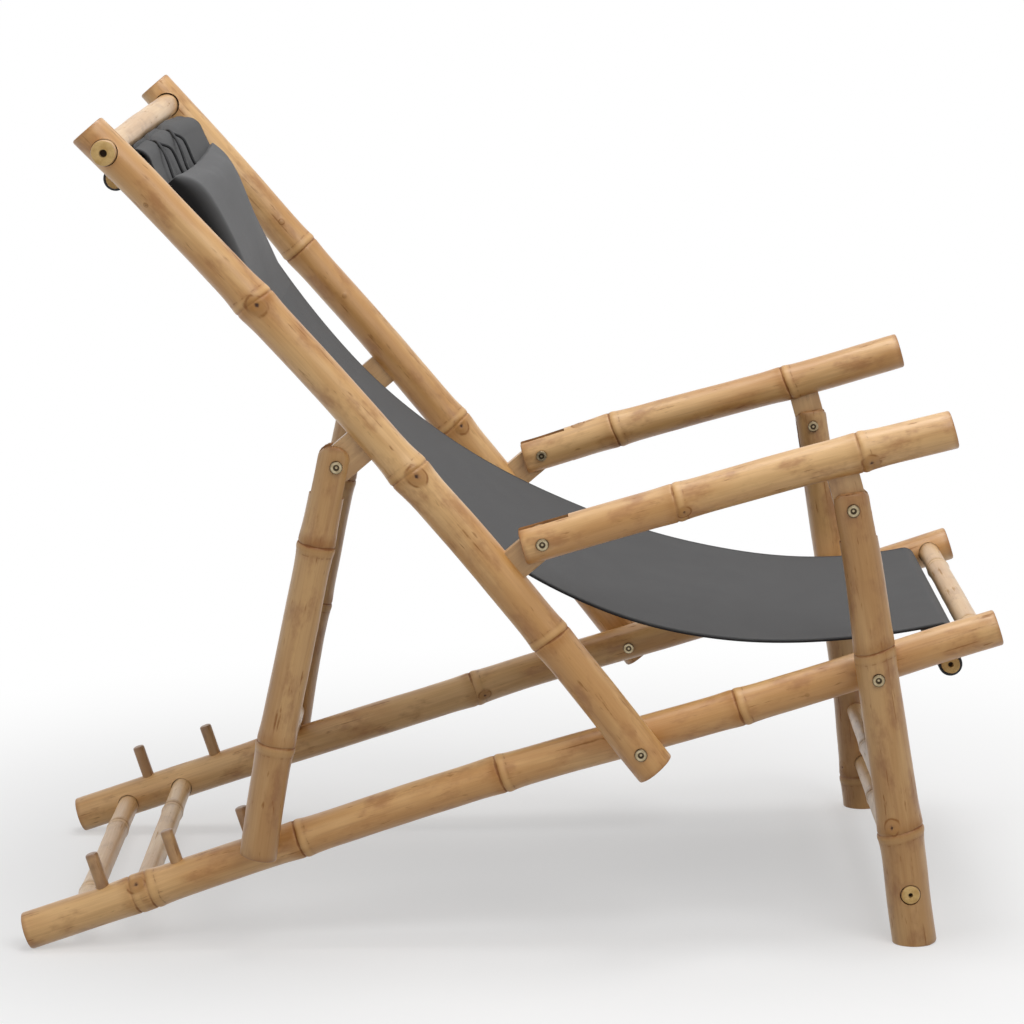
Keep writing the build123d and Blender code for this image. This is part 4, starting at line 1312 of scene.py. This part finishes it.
def on_sling(row, across):
    """World place of the canvas at a row of its run and a distance across."""
    low = min(int(row), len(sling_run) - 2)
    point = sling_run[low].lerp(sling_run[low + 1], row - low)
    lift = 0.0
    if RUN_ROLL < row < RUN_FRONT:
        share = (row - RUN_ROLL) / (RUN_FRONT - RUN_ROLL)
        lift = 0.8 * sin(pi * share) * noise.noise(Vector((row * 0.07, across * 0.006, 4.0)))
    if RUN_HIP - HIP_ROWS < row < RUN_FRONT:
        share = (row - RUN_HIP + HIP_ROWS) / (RUN_FRONT - RUN_HIP + HIP_ROWS)
        lift -= SEAT_TWIST * sin(pi * share) ** 2 * across / SLING_HALF
    if row < RUN_ROLL + 2 * HIP_ROWS:
        height = (point - BACK_PIVOT).dot(BACK_UP)
        swell = puff(point, across, row) if row > HEM_ROWS else 0.0
        outward = (point - ROLL_CENTRE).normalized()
        point = point + outward * swell + BACK_FRONT * top_shift(height, across, row)
        if row > HEM_ROWS:
            point = point + BACK_UP * (top_drop(height, across) * min(1.0, (row - HEM_ROWS) / 10.0))
    return at(point, across) + Vector((0, 0, lift * MM))


def dress_sling(piece):
    """Lays the canvas in its place, and notes the places that its finish reads."""
    mesh = piece.data
    rows = [0] * len(mesh.vertices)
    mesh.attributes["row"].data.foreach_get("value", rows)
    flats, sling_edge_darkening = [], []
    for vert, row in zip(mesh.vertices, rows):
        across = -vert.co.y / MM
        flats.append(Vector((run_lengths[row], across, 0)) * MM)
        # Darker at the canvas's side edges.
        sling_edge_darkening.append(0.9 if SLING_HALF - abs(across) < 0.5 else 0.0)
        vert.co = on_sling(row, across)
    note(mesh, "flat", flats)
    note(mesh, "hem", sling_edge_darkening)


sling = sling_piece()
dress_sling(sling)
dress(sling, CANVAS)
smooth(sling, 80.0)
thick = sling.modifiers.new("cloth", "SOLIDIFY")
thick.thickness = SLING_THICKNESS * MM
thick.offset = 0.0
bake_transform(sling)
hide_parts("sling_seat", "sling_back")

# Black bindings on the hem rods' ends, from just inside the canvas's edges
BINDING_START = 211.0
FRONT_BINDING_END = 220.5
TOP_BINDING_END = 257.0


def binding(name, body, rod, shifts, reach, end):
    """Black sleeves of the hem round both ends of a rod."""
    length = end - BINDING_START
    outline = [(0.0, 10.2), (0.0, 12.0), (1.2, 12.6), (length - 0.5, 12.4), (length + 0.5, 10.2)]
    sleeves = []
    for sign in SIDES.values():
        bm = spun(outline + outline[:1], 32, 12.0)
        start = rod + shifts[-1].lerp(shifts[1], 0.5 + 0.5 * sign * BINDING_START / reach)
        stop = rod + shifts[sign]
        inner, outer = at(start, sign * BINDING_START), at(stop, sign * reach)
        move(bm, pole_frame(inner, outer, Vector((0, 0, 1))))
        sleeves.append(to_object(bm, "sleeve"))
    made = join(name, sleeves)
    dress(made, ELASTIC)
    smooth(made, 50.0)
    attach(made, body)


binding("hem_binding_front", "base", FRONT_ROD, STRAIGHT, FRONT_ROD_END, FRONT_BINDING_END)
binding("hem_binding_top", "back", TOP_ROD, ROD_SHIFTS, TOP_ROD_END, TOP_BINDING_END)

# Head pillow: a wedge that is thick at its top and runs out flat on the sling
PILLOW_HALF = 198.0
PILLOW_LOW = 574.0
PILLOW_HIGH = 757.0
# Thickness up the pillow at its right end, its middle and its left end
PILLOW_THICKNESS = {
    1: [(0.0, 0.3), (0.12, 8.5), (0.25, 16.5), (0.5, 27.5), (0.75, 32.0), (0.9, 28.0), (1.0, 15.0)],
    0: [(0.0, 0.3), (0.12, 4.0), (0.25, 12.5), (0.5, 28.0), (0.75, 37.0), (0.9, 33.0), (1.0, 16.0)],
    -1: [(0.0, 0.3), (0.12, 2.0), (0.25, 5.0), (0.5, 10.0), (0.75, 16.0), (0.9, 14.0), (1.0, 8.0)],
}
SLING_REST = (0.3, 1.8)
BACK_CURVE = 1006.2
STUFFING_STEPS = 20
STUFFING_CAP = 0.003
STUFFING_PRESSURE = 3.0


def sling_front(height):
    """Front offset of the sling's upper run at a height along the back."""
    rise = height - SAG_HEIGHT
    return SAG_FRONT + BACK_CURVE - sqrt(BACK_CURVE**2 - rise**2)


def pillow_thickness(share, across):
    side = 1 if across > 0 else -1
    out = 0.5 - 0.5 * cos(pi * abs(across) / PILLOW_HALF)
    middle = eased(PILLOW_THICKNESS[0], share)
    return middle + (eased(PILLOW_THICKNESS[side], share) - middle) * out


def pillow_piece():
    """A block of even cells, shaped between the sling and the pillow's crown."""
    bm = bmesh.new()
    bmesh.ops.create_cube(bm, size=1.0)
    for axis, cuts in ((0, 66), (1, 30), (2, 5)):
        edges = [e for e in bm.edges if abs(e.verts[0].co[axis] - e.verts[1].co[axis]) > 0.5]
        bmesh.ops.subdivide_edges(bm, edges=edges, cuts=cuts, use_grid_fill=True)
    for vert in bm.verts:
        a, b, c = vert.co
        share = b + 0.5
        drawn = 1.0 - 0.035 * sin(pi * share) * abs(2 * a) ** 3
        across = 2 * a * PILLOW_HALF * drawn
        dip = 4.0 * (1.0 - (2 * a) ** 2) * max(0.0, share - 0.6) / 0.4
        height = PILLOW_LOW + (PILLOW_HIGH - PILLOW_LOW) * share - dip
        round_end = sqrt(max(0.0, 1.0 - max(0.0, (abs(2 * a) - 0.94) / 0.06) ** 2 * 0.5))
        depth = (c + 0.5) * pillow_thickness(share, 2 * a * PILLOW_HALF) * round_end
        rest = SLING_REST[0] + (SLING_REST[1] - SLING_REST[0]) * min(1.0, share * 4)
        rest += sling_front(height) + top_shift(height, across, RUN_ROLL)
        vert.co = at(on_back(height, rest + depth), across)
    return to_object(bm, "head_pillow_cushion")


def place_on_back(point):
    """Height, front offset and distance across of a world point, and its share up the pillow."""
    own = (point - RAIL_REAR) / MM
    along = own.x * cos(RAIL_SLOPE) + own.z * sin(RAIL_SLOPE)
    above = own.z * cos(RAIL_SLOPE) - own.x * sin(RAIL_SLOPE)
    place = Vector((along, above)) - BACK_PIVOT
    height = place.dot(BACK_UP)
    share = min(max((height - PILLOW_LOW) / (PILLOW_HIGH - PILLOW_LOW), 0.0), 1.0)
    return height, place.dot(BACK_FRONT), -own.y, share


def pillow_shade(vert):
    """Painted shade on the side panels, fading towards the seam with the front; darker towards the low
    end.
    """
    height, front, across, share = place_on_back(vert.co)
    depth = front - sling_front(height) - top_shift(height, across, RUN_ROLL)
    depth /= max(4.0, pillow_thickness(share, across))
    # Painted shade on the faces that turn to the sides.
    painted_side_shade = min(max((abs(vert.normal.y) - 0.1) / 0.4, 0.0), 1.0)
    low = 0.24 * max(0.0, 1.0 - share / 0.4)
    return max(low, 0.985 * painted_side_shade * min(1.0, max(0.0, 1.75 - 1.2 * depth)))


def stuffed(piece, cap, pressure):
    """Swells a pillow by cloth simulation, and keeps each point within a cap of where it was."""
    rest = [vert.co.copy() for vert in piece.data.vertices]
    cloth = piece.modifiers.new("stuffing", "CLOTH")
    cloth.settings.use_pressure = True
    cloth.settings.uniform_pressure_force = pressure
    cloth.settings.effector_weights.gravity = 0.0
    cloth.settings.quality = 6
    cloth.point_cache.frame_start = 1
    cloth.point_cache.frame_end = STUFFING_STEPS
    for step in range(1, STUFFING_STEPS + 1):
        scene.frame_set(step)
    seen = piece.evaluated_get(bpy.context.evaluated_depsgraph_get())
    moved = [vert.co.copy() for vert in seen.data.vertices]
    piece.modifiers.clear()
    scene.frame_set(1)
    under = world_way(BACK_FRONT * -1000).normalized()
    for vert, old, new in zip(piece.data.vertices, rest, moved):
        move = new - old
        sunk = move.dot(under)
        if sunk > 0 and vert.normal.dot(under) > 0.2:
            move -= under * sunk
        most = cap * min(1.0, 3.0 * place_on_back(old)[3])
        if move.length > most:
            move *= most / move.length
        vert.co = old + move


pillow = pillow_piece()
stuffed(pillow, STUFFING_CAP, STUFFING_PRESSURE)
PILLOW_UP = world_way(BACK_UP * 1000).normalized()
pillow_points = pillow.data.vertices
note(pillow.data, "flat", [Vector((v.co.dot(PILLOW_UP), v.co.y, 0)) for v in pillow_points])
# Painted shade on the pillow's side panels, and a darkening towards its low end, go in its "hem" values.
note(pillow.data, "hem", [pillow_shade(v) for v in pillow_points])
dress(pillow, PILLOW_CLOTH)
smooth(pillow, 80.0)
soften = pillow.modifiers.new("soften", "SUBSURF")
soften.levels = 1
soften.render_levels = 1
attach(pillow, "pillow")
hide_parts("head_pillow")

# Elastic cords: from each eyelet in the roll two strands run down to the pillow's top
CORD_RADIUS = 1.6
CORD_ENDS = ((158.0, 86.0), (44.0, -16.0))
PILLOW_TOP_DEPTH = 7.0


def nearest_row(place, rows):
    return min(rows, key=lambda row: (sling_run[row] - place).length)


EYELET_ROW = nearest_row(on_back(800.0, 10.0), range(HEM_ROWS + TAIL_ROWS, RUN_ROLL))
PILLOW_ROW = nearest_row(on_back(PILLOW_HIGH + 3.0, 16.0), range(RUN_ROLL, RUN_ROLL + HIP_ROWS))


def off_roll(row, across, clear):
    """A place just off the canvas of the roll."""
    low = min(int(row), len(sling_run) - 2)
    outward = (sling_run[low].lerp(sling_run[low + 1], row - low) - ROLL_CENTRE).normalized()
    return on_sling(row, across) + world_way(outward) * clear


def strand(eyelet, end):
    """Places down one strand, from inside the eyelet to inside the pillow's top edge."""
    places = [off_roll(EYELET_ROW, eyelet, -1.5)]
    steps = 16
    for step in range(1, steps + 1):
        share = step / steps
        across = eyelet + (end - eyelet) * max(0.0, share - 0.25) / 0.75
        row = EYELET_ROW + (PILLOW_ROW - EYELET_ROW) * share
        clear = 1.0 + CORD_RADIUS + 0.2 + PILLOW_TOP_DEPTH * max(0.0, share - 0.6) / 0.4
        places.append(off_roll(row, across, clear))
    places.append(places[-1] + world_way(BACK_UP * -1.0) * 5.0)
    return places


def corded(name, runs, radius):
    """Round cords along their runs, as one mesh."""
    curve = bpy.data.curves.new(name, "CURVE")
    curve.dimensions = "3D"
    curve.bevel_depth = radius * MM
    curve.bevel_resolution = 3
    curve.use_fill_caps = True
    for run in runs:
        line = curve.splines.new("NURBS")
        line.points.add(len(run) - 1)
        for point, place in zip(line.points, run):
            point.co = (*place, 1.0)
        line.use_endpoint_u = True
        line.order_u = 4
        line.resolution_u = 3
    holder = add_object(name, curve)
    mesh = final_mesh(holder)
    bpy.data.objects.remove(holder)
    made = add_object(name, mesh)
    dress(made, ELASTIC)
    smooth(made, 50.0)
    return made


runs = [strand(eyelet, end) for eyelet, ends in zip(EYELETS, CORD_ENDS) for end in ends]
cords = corded("elastic_cords", runs, CORD_RADIUS)
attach(cords, "pillow")
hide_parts("pillow_cords")


def grommet(eyelet):
    """A small dark eyelet ring in the canvas."""
    bm = spun([(-1.4, 0.0), (-1.4, 4.2), (0.2, 4.0), (0.6, 3.2), (0.2, 2.2), (-0.6, 0.0)], 24, 100.0)
    place = off_roll(EYELET_ROW, eyelet, 1.2)
    beyond = off_roll(EYELET_ROW, eyelet, 2.2)
    move(bm, pole_frame(place, beyond, Vector((0, 1, 0))))
    return to_object(bm, "eyelet")


eyelets = join("cord_eyelets", [grommet(eyelet) for eyelet in EYELETS])
dress(eyelets, ELASTIC)
smooth(eyelets, 50.0)
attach(eyelets, "back")

# Floor, world, lamps and camera


def seen_share(tree, ray):
    """1 for the rays that reach the picture: straight, or by way of a gloss or a glass."""
    seen = calc(tree, "ADD", ray.outputs["Is Camera Ray"], ray.outputs["Is Glossy Ray"])
    return calc(tree, "MINIMUM", calc(tree, "ADD", seen, ray.outputs["Is Transmission Ray"]), 1.0)


def floor_material():
    """A pale floor that fades to white away from the chair, and throws little light back."""
    made, tree, shader = new_material("pale_floor")
    values = {"Base Color": rgb(0.9, 0.9, 0.9), "Roughness": 0.9, "Specular IOR Level": 0.0}
    fill(tree, shader, values)
    far = length_of(tree, put(tree, "TexCoord").outputs["Object"])
    ray = put(tree, "LightPath")
    white = put(tree, "Emission", {"Color": WHITE, "Strength": 1.0}).outputs["Emission"]
    dim = put(tree, "BsdfDiffuse", {"Color": rgb(0.5, 0.5, 0.5)}).outputs["BSDF"]
    bounce = {0: ray.outputs["Is Diffuse Ray"], 1: shader.outputs["BSDF"], 2: dim}
    lit = put(tree, "MixShader", bounce).outputs["Shader"]
    share = times(tree, fade(tree, far, 0.45, 1.25, 0.45, 1.0), seen_share(tree, ray))
    mixed = put(tree, "MixShader", {0: share, 1: lit, 2: white}).outputs["Shader"]
    fill(tree, tree.nodes["Material Output"], {"Surface": mixed})
    return made


FLOOR_RADIUS = 40.0
FLOOR_DROP = 0.0004
AMBIENT = 0.33
bm = bmesh.new()
bmesh.ops.create_circle(bm, cap_ends=True, segments=64, radius=FLOOR_RADIUS)
bmesh.ops.translate(bm, vec=(0, 0, -FLOOR_DROP), verts=bm.verts[:])
floor = to_object(bm, "floor")
dress(floor, floor_material())

world = bpy.data.worlds.new("studio")
scene.world = world
world.use_nodes = True
sky = world.node_tree
seen = seen_share(sky, put(sky, "LightPath"))
strength = calc(sky, "MULTIPLY_ADD", seen, 1.0 - AMBIENT, AMBIENT)
fill(sky, sky.nodes["Background"], {"Color": WHITE, "Strength": strength})


def lamp(name, place, target, size, power):
    data = bpy.data.lights.new(name, "AREA")
    data.size = size
    data.energy = power
    made = add_object(name, data)
    made.location = place
    made.rotation_euler = (Vector(target) - Vector(place)).to_track_quat("-Z", "Y").to_euler()


lamp("key", (1.2, -2.2, 3.2), (0.0, 0.0, 0.4), 2.0, 46.0)
lamp("fill", (-2.6, -2.2, 1.6), (0.0, 0.0, 0.4), 2.0, 8.0)
lamp("top", (0.2, 0.3, 3.6), (0.0, 0.0, 0.3), 1.6, 48.0)

# The camera that was fitted to the photo
SENSOR_WIDTH = 36.0
PHOTO_WIDTH = 1024.0
FOCAL_LENGTH = 3686.08
CAMERA_PLACE = Vector((0.0501955, -3.9770282, 1.1319879))
CAMERA_RIGHT = Vector((0.99970651, 0.00647569, -0.02334428))
CAMERA_DOWN = Vector((-0.02181803, -0.17814351, -0.98376261))
CAMERA_FORWARD = Vector((-0.01052917, 0.98398321, -0.17794994))
view = bpy.data.cameras.new("camera")
view.sensor_width = SENSOR_WIDTH
view.sensor_fit = "HORIZONTAL"
view.lens = FOCAL_LENGTH * SENSOR_WIDTH / PHOTO_WIDTH
view.clip_end = 200.0
eye = add_object("camera", view)
turned = Matrix((CAMERA_RIGHT, -CAMERA_DOWN, -CAMERA_FORWARD)).transposed().to_4x4()
turned.translation = CAMERA_PLACE
eye.matrix_world = turned
scene.camera = eye
scene.view_settings.view_transform = "Standard"
